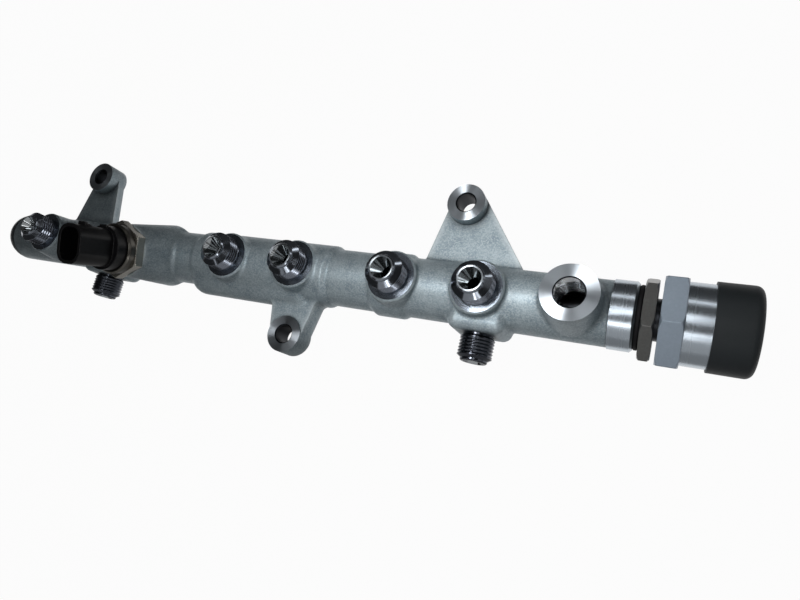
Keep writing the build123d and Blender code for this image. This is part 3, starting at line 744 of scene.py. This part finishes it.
# Near-black steel in the bore, the drillings and the holes: painted shade in recesses.
HOLE_SHADE_STEEL = Finish("hole_painted_shade", (0.02, 0.022, 0.026), metallic=1.0, roughness=0.45)
PORT_STEEL = Finish("port_thread_steel", (0.62, 0.64, 0.66), metallic=1.0, roughness=0.10)
SHANK_STEEL = Finish("shank_steel", (0.03, 0.032, 0.036), metallic=1.0, roughness=0.35)
HEX_STEEL = GrainFinish(
    "blasted_hexagon", (0.35, 0.42, 0.50), metallic=0.5, roughness=0.44, dark=(0.30, 0.36, 0.43), edge=0.0007,
    grain=900.0, sparkle=0.1, bump=0.00001,
)
NUT_STEEL = GrainFinish(
    "dark_nut", (0.160, 0.161, 0.156), metallic=0.75, roughness=0.32, dark=(0.12, 0.121, 0.117), edge=0.0005,
    grain=900.0, sparkle=0.1, bump=0.00001,
)
CAP_PLASTIC = GrainFinish(
    "cap_plastic", (0.021, 0.026, 0.029), roughness=0.55, dark=(0.017, 0.021, 0.024), edge=0.0006,
    grain=1800.0, sparkle=0.05, bump=0.00001, specular=0.25,
)
SENSOR_PLASTIC = GrainFinish(
    "sensor_plastic", (0.005, 0.005, 0.006), roughness=0.36, dark=(0.004, 0.004, 0.005), edge=0.0006,
    grain=1800.0, sparkle=0.05, bump=0.000006, specular=0.3,
)
RING_STEEL = Finish("crimp_ring_steel", (0.10, 0.095, 0.085), metallic=1.0, roughness=0.28, edge=0.0004)
SENSOR_STEEL = Finish("sensor_hexagon_steel", (0.36, 0.345, 0.31), metallic=1.0, roughness=0.26, edge=0.0005)
RUBBER = Finish("seal_rubber", (0.004, 0.004, 0.005), roughness=0.7, edge=0.0004, specular=0.2)
CONTACT = Finish("contact_strip", (0.62, 0.56, 0.42), metallic=1.0, roughness=0.3)
GROUND_STEEL = TurnedFinish("ground_steel", (0.55, 0.55, 0.57), metallic=1.0, roughness=0.16, pitch=6000.0)
COPPER_WIRE = TurnedFinish(
    "copper_wire", (0.62, 0.26, 0.12), metallic=1.0, roughness=0.3, pitch=2000.0, depth=0.00002,
)
SPOOL_PLASTIC = GrainFinish(
    "spool_plastic", (0.012, 0.012, 0.013), roughness=0.5, dark=(0.009, 0.009, 0.01),
    sparkle=0.05, bump=0.00001,
)
BOARD_LACQUER = GrainFinish(
    "board_lacquer", (0.012, 0.10, 0.04), roughness=0.35, dark=(0.008, 0.07, 0.028),
    sparkle=0.1, bump=0.00001,
)


@dataclass
class Sorting:
    """The triangles of the forging, sorted by finish.

    Attributes:
        centre: Middle of each triangle.
        normal: Unit normal of each triangle.
        region: Number of each triangle's finish.
        keep: False where a finer piece takes the triangle's place.
    """

    centre: np.ndarray
    normal: np.ndarray
    region: np.ndarray
    keep: np.ndarray

    def flat_at(self, height: float, near: float) -> np.ndarray:
        """Tell which triangles face up at a height, within a small distance."""
        return (self.normal[:, 2] > FACING_UP) & (np.abs(self.centre[:, 2] - height) < near)


@dataclass
class RailBody:
    """The forged rail: a shaded copy with machined regions, real threads and turned faces.

    Attributes:
        outlets: Mount names of the pipe outlets.
        inlets: Mount names of the pump connections.
        bolts: Mount names of the bolt holes.
        port: Mount name of the return port.
        axis: Place of the rail's axis along Y and Z.
        bore_limit: Distance from the axis that parts the rail's inside from its skin.
        pitch: Thread pitch.
        thread_depth: Height of the thread's flanks on the outlets and in the port.
        inlet_thread_depth: Height of the finer flanks on the pump connections.
        flank_slope: Slope of the flanks, where 1 leaves no flat root or crest.
        runout: Part of the pitch over which a thread fades out at its ends.
        relief_depth: Depth of the groove between a thread and its shoulder.
        shoulder_radius: Radius of the machined ring round an outlet.
        shoulder_height: Height of that ring.
        nose_face_radius: Radius of the flat ring on an outlet's nose.
        outlet_tip: Height of the outlets' tips.
        outlet_drilling: Radius of the drilling in an outlet.
        block_reach: Place along Y of the faces that the pump connections stand on.
        inlet_tip: Place along Y of the pump connections' tips.
        inlet_drilling: Radius of the drilling in a pump connection.
        mouth_radius: Radius of a sealing cone's mouth.
        cone_half_angle: Half the angle of a sealing cone, in degrees.
        port_radius: Radius of the return port's face.
        port_height: Height of that face.
        port_chamfer: Chamfer of the port's mouth.
        port_depth: Depth below the port's mount down to which its hole is marked.
        boss_radius: Radius of a bolt lug's face.
        bolt_chamfer: Chamfer of a bolt hole.
        lug_height: Height of the bolt lugs' upper faces.
        collar_start: Place along X where the machined collar starts.
        dome_end: Place along X where the turned dome of the closed end stops.
        near: Distance within which a triangle counts as lying on a face.
        near_wall: The same for a round wall, whose triangles cut its corners.
        mouth_margin: How far a hole's finish reaches past its chamfer.
        thread_grid: Rows and columns of a stub's thread.
        port_grid: Rows and columns of the port's thread.
        ring_grid: Rows and columns of a turned ring.
    """

    outlets: list[str] = field(default_factory=lambda: [f"outlet_{n}" for n in range(1, 6)])
    inlets: list[str] = field(default_factory=lambda: ["inlet_1", "inlet_2"])
    bolts: list[str] = field(default_factory=lambda: ["bolt_middle", "bolt_sensor_side", "bolt_valve_side"])
    port: str = "return_port"
    axis: tuple[float, float] = (34.0 * MM, 6.0 * MM)
    bore_limit: float = 9.0 * MM
    pitch: float = 1.5 * MM
    thread_depth: float = 0.70 * MM
    inlet_thread_depth: float = 0.45 * MM
    flank_slope: float = 1.25
    runout: float = 0.5
    relief_depth: float = 0.9 * MM
    shoulder_radius: float = 11.65 * MM
    shoulder_height: float = 22.9 * MM
    nose_face_radius: float = 5.7 * MM
    outlet_tip: float = 34.8 * MM
    outlet_drilling: float = 1.5 * MM
    block_reach: float = 16.0 * MM
    inlet_tip: float = 3.2 * MM
    inlet_drilling: float = 2.5 * MM
    mouth_radius: float = 5.1 * MM
    cone_half_angle: float = 30.0
    port_radius: float = 11.9 * MM
    port_height: float = 32.1 * MM
    port_chamfer: float = 0.5 * MM
    port_depth: float = 20.0 * MM
    boss_radius: float = 9.3 * MM
    bolt_chamfer: float = 0.6 * MM
    lug_height: float = 12.0 * MM
    collar_start: float = 152.5 * MM
    dome_end: float = -211.8 * MM
    near: float = 0.03 * MM
    near_wall: float = 0.09 * MM
    mouth_margin: float = 0.1 * MM
    thread_grid: tuple[int, int] = (150, 96)
    port_grid: tuple[int, int] = (260, 72)
    ring_grid: tuple[int, int] = (5, 96)

    def build(self) -> None:
        """Build the rail's skin, then its threads and faces."""
        points, triangles = welded("rail_body")
        centre, normal = facing(points, triangles)
        plain = np.full(len(triangles), Region.FORGED.value)
        sorting = Sorting(centre, normal, plain, np.ones(len(triangles), dtype=bool))
        off_axis = np.hypot(centre[:, 1] - self.axis[0], centre[:, 2] - self.axis[1])
        sorting.region[off_axis < self.bore_limit] = Region.HOLE.value
        self.mark_outlets(sorting)
        self.mark_inlets(sorting)
        self.mark_port(sorting)
        self.mark_lugs(sorting)
        sorting.region[centre[:, 0] > self.collar_start - self.near] = Region.TURNED.value
        sorting.region[centre[:, 0] < self.dome_end] = Region.DOME.value
        finishes = (FORGED, STUB_STEEL, BRIGHT_TURNED, HOLE_SHADE_STEEL, DOME_SHADED_STEEL, INLET_SHADED_STEEL)
        materials = [finish.build() for finish in finishes]
        skin = piece("rail_skin", points, triangles[sorting.keep], materials)
        skin.data.polygons.foreach_set("material_index", sorting.region[sorting.keep].astype(np.int32))
        soften(skin)
        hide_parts("rail_body")
        thread_steel = THREAD_STEEL.build()
        for name in self.outlets:
            self.thread(name, self.thread_depth, thread_steel)
        for name in self.inlets:
            self.thread(name, self.inlet_thread_depth, materials[Region.INLET.value])
        self.port_thread()
        self.faces()
        self.cones()

    def wall(self, name: str) -> tuple[Axle, float, float]:
        """Line, radius and half length of a round mount's wall."""
        dims = mount(name)["dims"]
        return axle_of(name), dims["r_mm"] * MM, dims["length_mm"] * MM / 2

    def mark_outlets(self, sorting: Sorting) -> None:
        """Mark the machined faces of the outlets and drop those that real threads and rings replace.

        Args:
            sorting: The forging's triangles.
        """
        level = sorting.centre[:, 2]
        for name in self.outlets:
            axle, radius, half = self.wall(name)
            height, reach = axle.measure(sorting.centre)
            above = level > self.shoulder_height - self.near
            stub = above & (reach < self.shoulder_radius + self.near)
            sorting.region[stub] = Region.STUB.value
            for top in (self.shoulder_height, self.outlet_tip):
                sorting.keep[stub & sorting.flat_at(top, self.near)] = False
            sorting.keep[self.on_wall(height, reach, radius, half)] = False
            sorting.keep[self.on_cone(self.outlet_tip - level, reach, self.outlet_drilling)] = False
            drilled = (reach < self.outlet_drilling + self.near_wall) & (level > self.axis[1])
            sorting.region[drilled] = Region.HOLE.value

    def mark_inlets(self, sorting: Sorting) -> None:
        """Mark the machined faces of the pump connections and drop the walls that threads replace.

        Args:
            sorting: The forging's triangles.
        """
        place = sorting.centre[:, 1]
        for name in self.inlets:
            axle, radius, half = self.wall(name)
            height, reach = axle.measure(sorting.centre)
            stub = (place < self.block_reach - self.near) & (reach < radius + self.near)
            sorting.region[stub] = Region.INLET.value
            sorting.keep[self.on_wall(height, reach, radius, half)] = False
            sorting.keep[self.on_cone(place - self.inlet_tip, reach, self.inlet_drilling)] = False
            drilled = (reach < self.inlet_drilling + self.near_wall) & (place < self.axis[0])
            sorting.region[drilled] = Region.HOLE.value

    def on_cone(self, depth: np.ndarray, reach: np.ndarray, drilling: float) -> np.ndarray:
        """Tell which triangles lie on a stub's sealing cone.

        Args:
            depth: Depth below the stub's tip.
            reach: Distance from the stub's line.
            drilling: Radius of the drilling below the cone.

        Returns:
            True for each triangle on the cone.
        """
        inside = (depth > self.near) & (depth < self.cone_depth(drilling) - self.near)
        return inside & (reach < self.mouth_radius)

    def cone_depth(self, drilling: float) -> float:
        """Depth of a sealing cone that narrows from its mouth to a drilling."""
        return (self.mouth_radius - drilling) / np.tan(np.radians(self.cone_half_angle))

    def on_wall(self, height: np.ndarray, reach: np.ndarray, radius: float, half: float) -> np.ndarray:
        """Tell which triangles lie on a stub's threaded wall."""
        return (np.abs(height) < half) & (np.abs(reach - radius) < self.near_wall)

    def mark_port(self, sorting: Sorting) -> None:
        """Mark the return port's hole and drop its face, which a turned ring replaces.

        Args:
            sorting: The forging's triangles.
        """
        axle, radius, _ = self.wall(self.port)
        _, reach = axle.measure(sorting.centre)
        level = sorting.centre[:, 2]
        above = level > axle.origin[2] - self.port_depth
        mouth = radius + self.port_chamfer + self.mouth_margin
        sorting.region[above & (reach < mouth)] = Region.HOLE.value
        face = sorting.flat_at(self.port_height, self.near)
        sorting.keep[face & (reach < self.port_radius + self.near)] = False
        low, high = self.port_span()
        inside = (level > low + self.near) & (level < high - self.near)
        sorting.keep[inside & (np.abs(reach - radius) < self.near_wall)] = False

    def port_span(self) -> tuple[float, float]:
        """Heights between which the return port's wall is threaded."""
        high = self.port_height - self.port_chamfer
        return high - mount(self.port)["dims"]["length_mm"] * MM, high

    def mark_lugs(self, sorting: Sorting) -> None:
        """Mark the bolt holes and drop the lugs' upper faces, which turned rings replace.

        Args:
            sorting: The forging's triangles.
        """
        face = sorting.flat_at(self.lug_height, self.near)
        for name in self.bolts:
            axle, radius, _ = self.wall(name)
            _, reach = axle.measure(sorting.centre)
            sorting.region[reach < radius + self.bolt_chamfer + self.mouth_margin] = Region.HOLE.value
            sorting.keep[face & (reach < self.boss_radius + self.near)] = False

    def turns(self, height: np.ndarray, turn: np.ndarray, room: np.ndarray) -> tuple[np.ndarray, np.ndarray]:
        """Wave of a one-start thread, and how fully it is cut.

        The wave is a triangle over height in pitches less angle in turns, steepened about its middle and
        clipped to 0 at the root and 1 at the crest, or the other way round inside a hole. The cut grows
        evenly from 0 at the thread's ends to 1.

        Args:
            height: Height along the thread's line.
            turn: Angle in radians.
            room: Distance from the nearer end of the thread.

        Returns:
            The wave and the cut, both from 0 to 1.
        """
        phase = (height / self.pitch - turn / (2 * np.pi)) % 1.0
        wave = self.flank_slope * np.abs(2 * phase - 1) - (self.flank_slope - 1) / 2
        return np.clip(wave, 0.0, 1.0), np.clip(room / (self.runout * self.pitch), 0.0, 1.0)

    def thread(self, name: str, depth: float, material: bpy.types.Material) -> None:
        """Cut real turns on a stub: radius = outer size less depth times what the wave lacks, where cut.

        Args:
            name: Mount name of the stub.
            depth: Height of the flanks.
            material: Its steel.
        """
        axle, radius, half = self.wall(name)
        rows, columns = self.thread_grid
        height, turn = polar_grid(np.linspace(-half, half, rows), columns)
        wave, cut = self.turns(height, turn, half - np.abs(height))
        points = axle.surface(height, radius - depth * (1 - wave) * cut, turn)
        piece(f"{name}_thread", points, grid_faces(rows, columns), [material])

    def port_thread(self) -> None:
        """Cut the return port's inner thread: radius = drilled size plus depth times the wave, where cut."""
        axle, radius, _ = self.wall(self.port)
        low, high = self.port_span()
        rows, columns = self.port_grid
        level, turn = polar_grid(np.linspace(high, low, rows), columns)
        wave, cut = self.turns(level, turn, np.minimum(high - level, level - low))
        points = axle.surface(level - axle.origin[2], radius + self.thread_depth * wave * cut, turn)
        piece("port_thread", points, grid_faces(rows, columns), [PORT_STEEL.build()])

    def cones(self) -> None:
        """Turn the sealing cones in the mouths of the stubs: radius shrinks evenly with depth."""
        steel = CONE_STEEL.build()
        for name in self.outlets + self.inlets:
            axle = axle_of(name)
            outlet = name in self.outlets
            drilling = self.outlet_drilling if outlet else self.inlet_drilling
            tip = self.outlet_tip - axle.origin[2] if outlet else axle.origin[1] - self.inlet_tip
            depth = self.cone_depth(drilling)
            self.ring(f"{name}_cone", axle, tip, (drilling, self.mouth_radius), steel, depth)

    def faces(self) -> None:
        """Turn the flat rings of the port, the lugs and the outlets' noses and shoulders."""
        bright = FACED_STEEL.build()
        # The shoulders take the darker faced steel: painted shade.
        dark = FACED_SHADED.build()
        port, hole, _ = self.wall(self.port)
        span = (hole + self.port_chamfer, self.port_radius)
        self.ring("port_face", port, self.port_height - port.origin[2], span, bright)
        for name in self.bolts:
            axle, hole, _ = self.wall(name)
            span = (hole + self.bolt_chamfer, self.boss_radius)
            self.ring(f"{name}_face", axle, self.lug_height - axle.origin[2], span, bright)
        for name in self.outlets:
            axle, radius, _ = self.wall(name)
            span = (self.mouth_radius, self.nose_face_radius)
            self.ring(f"{name}_nose", axle, self.outlet_tip - axle.origin[2], span, bright)
            span = (radius - self.relief_depth, self.shoulder_radius)
            self.ring(f"{name}_shoulder", axle, self.shoulder_height - axle.origin[2], span, dark)

    def ring(
        self,
        name: str,
        axle: Axle,
        height: float,
        span: tuple[float, float],
        material: bpy.types.Material,
        depth: float = 0.0,
    ) -> None:
        """Turn a ring: the radius runs from outer to inner while the height sinks evenly by depth.

        On its turning map U is the radius and V the angle.

        Args:
            name: Object name.
            axle: Its line.
            height: Height of the outer edge along the line.
            span: Inner and outer radius.
            material: Its finish.
            depth: How far the inner edge lies below the outer one.
        """
        inner, outer = span
        rows, columns = self.ring_grid
        reach, turn = polar_grid(np.linspace(outer, inner, rows), columns)
        level = height - depth * (outer - reach) / (outer - inner)
        points = axle.surface(level, reach, turn)
        ring = piece(name, points, grid_faces(rows, columns), [material])
        i, j = np.meshgrid(np.arange(rows - 1), np.arange(columns), indexing="ij")
        share = np.stack([i, i, i + 1, i + 1], axis=-1) / (rows - 1)
        angle = np.stack([j, j + 1, j + 1, j], axis=-1) / columns
        chart = ring.data.uv_layers.new(name=TURNING_MAP)
        chart.data.foreach_set("uv", np.stack([1 - share, angle], axis=-1).astype(np.float32).ravel())


@dataclass
class PressureSensor:
    """The pressure sensor: steel hexagon, crimped ring, black plug housing, contacts and what they hold.

    Attributes:
        pins: Names of the contacts.
    """

    pins: list[str] = field(default_factory=lambda: [f"sensor_pin_{n}" for n in range(1, 4)])

    def build(self) -> None:
        """Dress the sensor's pieces, the hidden ones too."""
        smooth_copy("sensor_port", [SENSOR_STEEL.build()])
        smooth_copy("sensor_ring", [RING_STEEL.build()])
        smooth_copy("sensor_housing", [SENSOR_PLASTIC.build()])
        contact = CONTACT.build()
        for pin in self.pins:
            smooth_copy(pin, [contact])
        smooth_copy("sensor_cell", [GROUND_STEEL.build()])
        smooth_copy("sensor_board", [BOARD_LACQUER.build()])
        smooth_copy("sensor_seal", [RUBBER.build()])


@dataclass
class ControlValve:
    """The pressure control valve: turned body with hexagon, lock nut, cap, contacts, coil and armature.

    Attributes:
        hex_start: Place along X where the hexagon starts.
        hex_end: Place along X where the hexagon ends.
        near: Distance within which a triangle counts as lying on the hexagon.
        pins: Names of the contacts.
        ground: Names of the ground steel pieces inside.
        spring: Name of the spring that the armature presses.
        slide: Name of the armature's joint; not used.
    """

    hex_start: float = 171.5 * MM
    hex_end: float = 180.5 * MM
    near: float = 0.02 * MM
    pins: list[str] = field(default_factory=lambda: ["valve_pin_1", "valve_pin_2"])
    ground: list[str] = field(
        default_factory=lambda: ["valve_seat", "valve_ball", "valve_plunger", "armature_plate", "end_plate"]
    )
    spring: str = "armature_spring"
    slide: str = "armature_slide"

    def build(self) -> None:
        """Dress the valve's pieces, the hidden ones too."""
        finishes = [BRIGHT_TURNED.build(), HEX_STEEL.build(), SHANK_STEEL.build()]
        copy, points, triangles = smooth_copy("valve_body", finishes)
        station = facing(points, triangles)[0][:, 0]
        region = np.full(len(triangles), ValveRegion.TURNED.value)
        region[station < self.hex_end + self.near] = ValveRegion.HEXAGON.value
        region[station < self.hex_start - self.near] = ValveRegion.SHANK.value
        copy.data.polygons.foreach_set("material_index", region.astype(np.int32))
        smooth_copy("lock_nut", [NUT_STEEL.build()])
        rubber = RUBBER.build()
        smooth_copy("valve_seal_ring", [rubber])
        smooth_copy("valve_o_ring", [rubber])
        smooth_copy("valve_cap", [CAP_PLASTIC.build()])
        contact = CONTACT.build()
        for pin in self.pins:
            smooth_copy(pin, [contact])
        self.works()

    def works(self) -> None:
        """Dress the coil, the armature and its spring, which gets a mesh of its own."""
        smooth_copy("coil_bobbin", [SPOOL_PLASTIC.build()])
        smooth_copy("coil_winding", [COPPER_WIRE.build()])
        steel = GROUND_STEEL.build()
        for name in self.ground:
            smooth_copy(name, [steel])
        spring, _, _ = smooth_copy(self.spring, [steel])
        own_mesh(spring)


@dataclass(frozen=True)
class Softbox:
    """A soft rectangular lamp.

    Attributes:
        name: Lamp name.
        place: Where it stands.
        target: What it points at.
        width: Width in metres.
        depth: Depth in metres.
        power: Power in watts.
        spread: Angle of the beam in degrees.
    """

    name: str
    place: Triple
    target: Triple
    width: float
    depth: float
    power: float
    spread: float

    def build(self) -> None:
        """Hang the lamp."""
        lamp = bpy.data.lights.new(self.name, "AREA")
        lamp.shape = "RECTANGLE"
        lamp.size = self.width
        lamp.size_y = self.depth
        lamp.energy = self.power
        lamp.spread = radians(self.spread)
        obj = bpy.data.objects.new(self.name, lamp)
        aim = Vector(self.target) - Vector(self.place)
        turn = aim.to_track_quat("-Z", "Y").to_matrix()
        obj.matrix_world = Matrix.Translation(self.place) @ turn.to_4x4()
        obj.visible_camera = False
        bpy.context.scene.collection.objects.link(obj)


@dataclass(frozen=True)
class Card:
    """A card that only gloss sees: a grey one darkens what metal mirrors, a bright one makes a streak.

    Attributes:
        name: Card name.
        corners: Its four corners.
        tone: Its brightness, where 1 is white.
    """

    name: str
    corners: tuple[Triple, Triple, Triple, Triple]
    tone: float

    def build(self) -> None:
        """Stand the card up."""
        material = bpy.data.materials.new(self.name)
        material.use_nodes = True
        tree = material.node_tree
        tree.nodes.remove(tree.nodes["Principled BSDF"])
        glow = node(tree, "ShaderNodeEmission")
        glow.inputs["Strength"].default_value = self.tone
        tree.links.new(glow.outputs["Emission"], tree.nodes["Material Output"].inputs["Surface"])
        mesh = bpy.data.meshes.new(self.name)
        mesh.from_pydata(self.corners, [], [(0, 1, 2, 3)])
        mesh.materials.append(material)
        card = bpy.data.objects.new(self.name, mesh)
        card.visible_camera = False
        card.visible_shadow = False
        card.visible_diffuse = False
        bpy.context.scene.collection.objects.link(card)


@dataclass(frozen=True)
class BladeRows:
    """Rows of bright strips that bare steel mirrors as streaks.

    Attributes:
        fan_azimuths: Directions of the fan's blades above the rail, in degrees from +X towards +Y.
        fan_height: Height of the fan.
        fan_reach: Distances of a blade's near and far end from the rail's middle.
        fan_half_angle: Half the angle that a blade spans, in degrees.
        fan_tone: Brightness of the fan's blades.
        side_middles: Places along Y of the upright strips beyond the valve.
        side_place: Place along X of those strips.
        side_span: Heights of their lower and upper ends.
        side_half_width: Half their width.
        side_tone: Their brightness.
    """

    fan_azimuths: tuple[float, ...] = (98.0, 120.0, 176.0, 198.0, 220.0, 242.0)
    fan_height: float = 0.60
    fan_reach: tuple[float, float] = (0.14, 0.62)
    fan_half_angle: float = 4.5
    fan_tone: float = 1.0
    side_middles: tuple[float, ...] = (-0.14, 0.16, 0.46)
    side_place: float = 0.89
    side_span: tuple[float, float] = (0.05, 0.60)
    side_half_width: float = 0.07
    side_tone: float = 0.8

    def fan_corner(self, reach: float, azimuth: float) -> Triple:
        """Corner of a blade: the point at a distance and azimuth from the rail's middle."""
        angle = radians(azimuth)
        return (reach * cos(angle), reach * sin(angle), self.fan_height)

    def cards(self) -> list[Card]:
        """Cut the blades: sectors between two circles for the fan, and upright rectangles at the side.

        Returns:
            The cards, the fan's first.
        """
        near, far = self.fan_reach
        low, high = self.side_span
        blades = []
        for number, azimuth in enumerate(self.fan_azimuths, 1):
            right, left = azimuth - self.fan_half_angle, azimuth + self.fan_half_angle
            ends = ((near, right), (far, right), (far, left), (near, left))
            corners = tuple(self.fan_corner(reach, turn) for reach, turn in ends)
            blades.append(Card(f"fan_blade_{number}", corners, self.fan_tone))
        for number, middle in enumerate(self.side_middles, 1):
            left, right = middle - self.side_half_width, middle + self.side_half_width
            ends = ((left, low), (right, low), (right, high), (left, high))
            corners = tuple((self.side_place, across, up) for across, up in ends)
            blades.append(Card(f"side_blade_{number}", corners, self.side_tone))
        return blades


@dataclass
class Studio:
    """White studio: pale floor, white surroundings, soft lamps and the photograph's camera.

    Attributes:
        floor_height: Height of the floor.
        floor_size: Side of the floor.
        floor_tone: Grey of the floor where it only lights the object.
        glow: How far the floor glows white where it is seen.
        ambient: Strength of the even light from all round.
        camera_place: Where the camera stands.
        camera_right: Unit direction to the right of its picture.
        camera_up: Unit direction to the top of its picture.
        camera_back: Unit direction from the object to it.
        lens: Its focal length in millimetres.
        sensor: Width of its sensor in millimetres.
        shift: Its shift to the right and up, in sensor widths.
        clip: Distance from which it sees.
        lamps: The lamps.
        cards: The cards that gloss sees.
    """

    floor_height: float = -18.0 * MM
    floor_size: float = 6.0
    floor_tone: float = 0.17
    glow: float = 0.97
    ambient: float = 0.036
    camera_place: Triple = (0.17356, -0.03367, 0.27110)
    camera_right: Triple = (0.9074, 0.2266, -0.3540)
    camera_up: Triple = (-0.1313, 0.9529, 0.2733)
    camera_back: Triple = (0.3993, -0.2015, 0.8944)
    lens: float = 27.53
    sensor: float = 36.0
    shift: tuple[float, float] = (0.0015, 0.00225)
    clip: float = 0.01
    lamps: list[Softbox] = field(default_factory=lambda: [
        Softbox("overhead_softbox", (0.03, 0.035, 0.37), (0.105, 0.034, 0.0), 0.15, 0.08, 0.15, 75.0),
        Softbox("overhead_strip", (0.17, 0.03, 0.36), (0.15, 0.034, 0.0), 0.14, 0.04, 0.022, 90.0),
        Softbox("side_softbox", (0.04, -0.18, 0.26), (0.13, 0.034, 0.0), 0.10, 0.04, 0.007, 75.0),
        Softbox("side_strip", (0.17, -0.18, 0.26), (0.15, 0.034, 0.0), 0.14, 0.03, 0.013, 90.0),
        Softbox("back_strip", (0.15, 0.30, 0.27), (0.13, 0.034, 0.0), 0.20, 0.06, 0.005, 100.0),
        Softbox("end_softbox", (-0.03, -0.02, 0.34), (-0.13, 0.034, 0.0), 0.08, 0.06, 0.010, 60.0),
    ])
    cards: list[Card] = field(default_factory=lambda: [
        Card(
            "end_card",
            ((-0.45, -0.6, 0.0), (-0.45, 0.8, 0.0), (-0.32, 0.8, 0.75), (-0.32, -0.6, 0.75)),
            0.04,
        ),
        Card(
            "rear_card",
            ((-0.5, 0.75, 0.0), (0.9, 0.75, 0.0), (0.9, 0.7, 0.75), (-0.5, 0.7, 0.75)),
            0.06,
        ),
        Card(
            "rear_sheet",
            ((-0.5, 0.12, -0.016), (0.9, 0.12, -0.016), (0.9, 0.75, 0.0), (-0.5, 0.75, 0.0)),
            0.05,
        ),
        Card(
            "front_sheet",
            ((-0.5, -0.7, -0.016), (0.9, -0.7, -0.016), (0.9, 0.0, -0.016), (-0.5, 0.0, -0.016)),
            0.3,
        ),
        Card(
            "front_card",
            ((-0.5, -0.75, 0.0), (0.9, -0.75, 0.0), (0.9, -0.7, 0.75), (-0.5, -0.7, 0.75)),
            0.5,
        ),
        Card(
            "side_card",
            ((0.9, -0.75, 0.0), (0.9, 0.75, 0.0), (0.9, 0.75, 0.75), (0.9, -0.75, 0.75)),
            0.2,
        ),
        Card(
            "side_glint",
            ((0.04, -0.2, 0.32), (0.19, -0.2, 0.17), (0.19, -0.2, 0.215), (0.04, -0.2, 0.365)),
            6.0,
        ),
        Card(
            "rear_glint",
            ((0.03, 0.3, 0.21), (0.42, 0.3, 0.25), (0.42, 0.3, 0.29), (0.03, 0.3, 0.25)),
            3.0,
        ),
        Card(
            "top_card",
            ((-0.6, 0.8, 0.75), (0.9, 0.8, 0.75), (0.9, -0.8, 0.75), (-0.6, -0.8, 0.75)),
            0.035,
        ),
        *BladeRows().cards(),
    ])

    def build(self) -> None:
        """Set up floor, surroundings, lamps, cards and camera."""
        self.floor()
        self.surroundings()
        for lamp in self.lamps:
            lamp.build()
        for card in self.cards:
            card.build()
        self.camera()
        bpy.context.scene.view_settings.view_transform = "Standard"

    def seen(self, tree: bpy.types.NodeTree) -> bpy.types.NodeSocket:
        """Make a value that is 1 for what the camera sees directly, in gloss or through glass.

        Args:
            tree: Node tree to add to.

        Returns:
            The value socket.
        """
        path = node(tree, "ShaderNodeLightPath")
        gloss = maths(tree, "MAXIMUM", path.outputs["Is Camera Ray"], path.outputs["Is Glossy Ray"])
        return maths(tree, "MAXIMUM", gloss, path.outputs["Is Transmission Ray"])

    def floor(self) -> None:
        """Lay the floor: white where it is seen, and still taking the object's shadow."""
        material = bpy.data.materials.new("studio_floor")
        material.use_nodes = True
        tree = material.node_tree
        tree.nodes.remove(tree.nodes["Principled BSDF"])
        matte = node(tree, "ShaderNodeBsdfDiffuse")
        matte.inputs["Color"].default_value = (self.floor_tone, self.floor_tone, self.floor_tone, 1.0)
        glow = node(tree, "ShaderNodeEmission")
        glow.inputs["Strength"].default_value = 1.0
        both = node(tree, "ShaderNodeMixShader")
        tree.links.new(maths(tree, "MULTIPLY", self.seen(tree), self.glow), both.inputs["Fac"])
        tree.links.new(matte.outputs["BSDF"], both.inputs[1])
        tree.links.new(glow.outputs["Emission"], both.inputs[2])
        tree.links.new(both.outputs["Shader"], tree.nodes["Material Output"].inputs["Surface"])
        half = self.floor_size / 2
        corners = np.array([[-half, -half], [half, -half], [half, half], [-half, half]])
        points = np.column_stack([corners, np.full(4, self.floor_height)])
        mesh = bpy.data.meshes.new("floor")
        mesh.from_pydata(points.tolist(), [], [(0, 1, 2, 3)])
        mesh.materials.append(material)
        floor = bpy.data.objects.new("floor", mesh)
        bpy.context.scene.collection.objects.link(floor)

    def surroundings(self) -> None:
        """White world where it is seen, and a low even light on everything else."""
        world = bpy.data.worlds.new("studio")
        world.use_nodes = True
        tree = world.node_tree
        back = tree.nodes["Background"]
        back.inputs["Color"].default_value = (1.0, 1.0, 1.0, 1.0)
        lift = maths(tree, "MULTIPLY", self.seen(tree), 1.0 - self.ambient)
        tree.links.new(maths(tree, "ADD", lift, self.ambient), back.inputs["Strength"])
        bpy.context.scene.world = world

    def camera(self) -> None:
        """Set the camera at the photograph's place and angle."""
        data = bpy.data.cameras.new("camera")
        data.sensor_width = self.sensor
        data.lens = self.lens
        data.shift_x, data.shift_y = self.shift
        data.clip_start = self.clip
        obj = bpy.data.objects.new("camera", data)
        turn = Matrix((self.camera_right, self.camera_up, self.camera_back)).transposed()
        obj.matrix_world = Matrix.Translation(self.camera_place) @ turn.to_4x4()
        bpy.context.scene.collection.objects.link(obj)
        bpy.context.scene.camera = obj


def main() -> None:
    """Build the rail, its sensor, its valve and the studio, and log each piece's face count."""
    logging.basicConfig(level=logging.INFO)
    RailBody().build()
    PressureSensor().build()
    ControlValve().build()
    Studio().build()


if __name__ == "__main__":
    main()
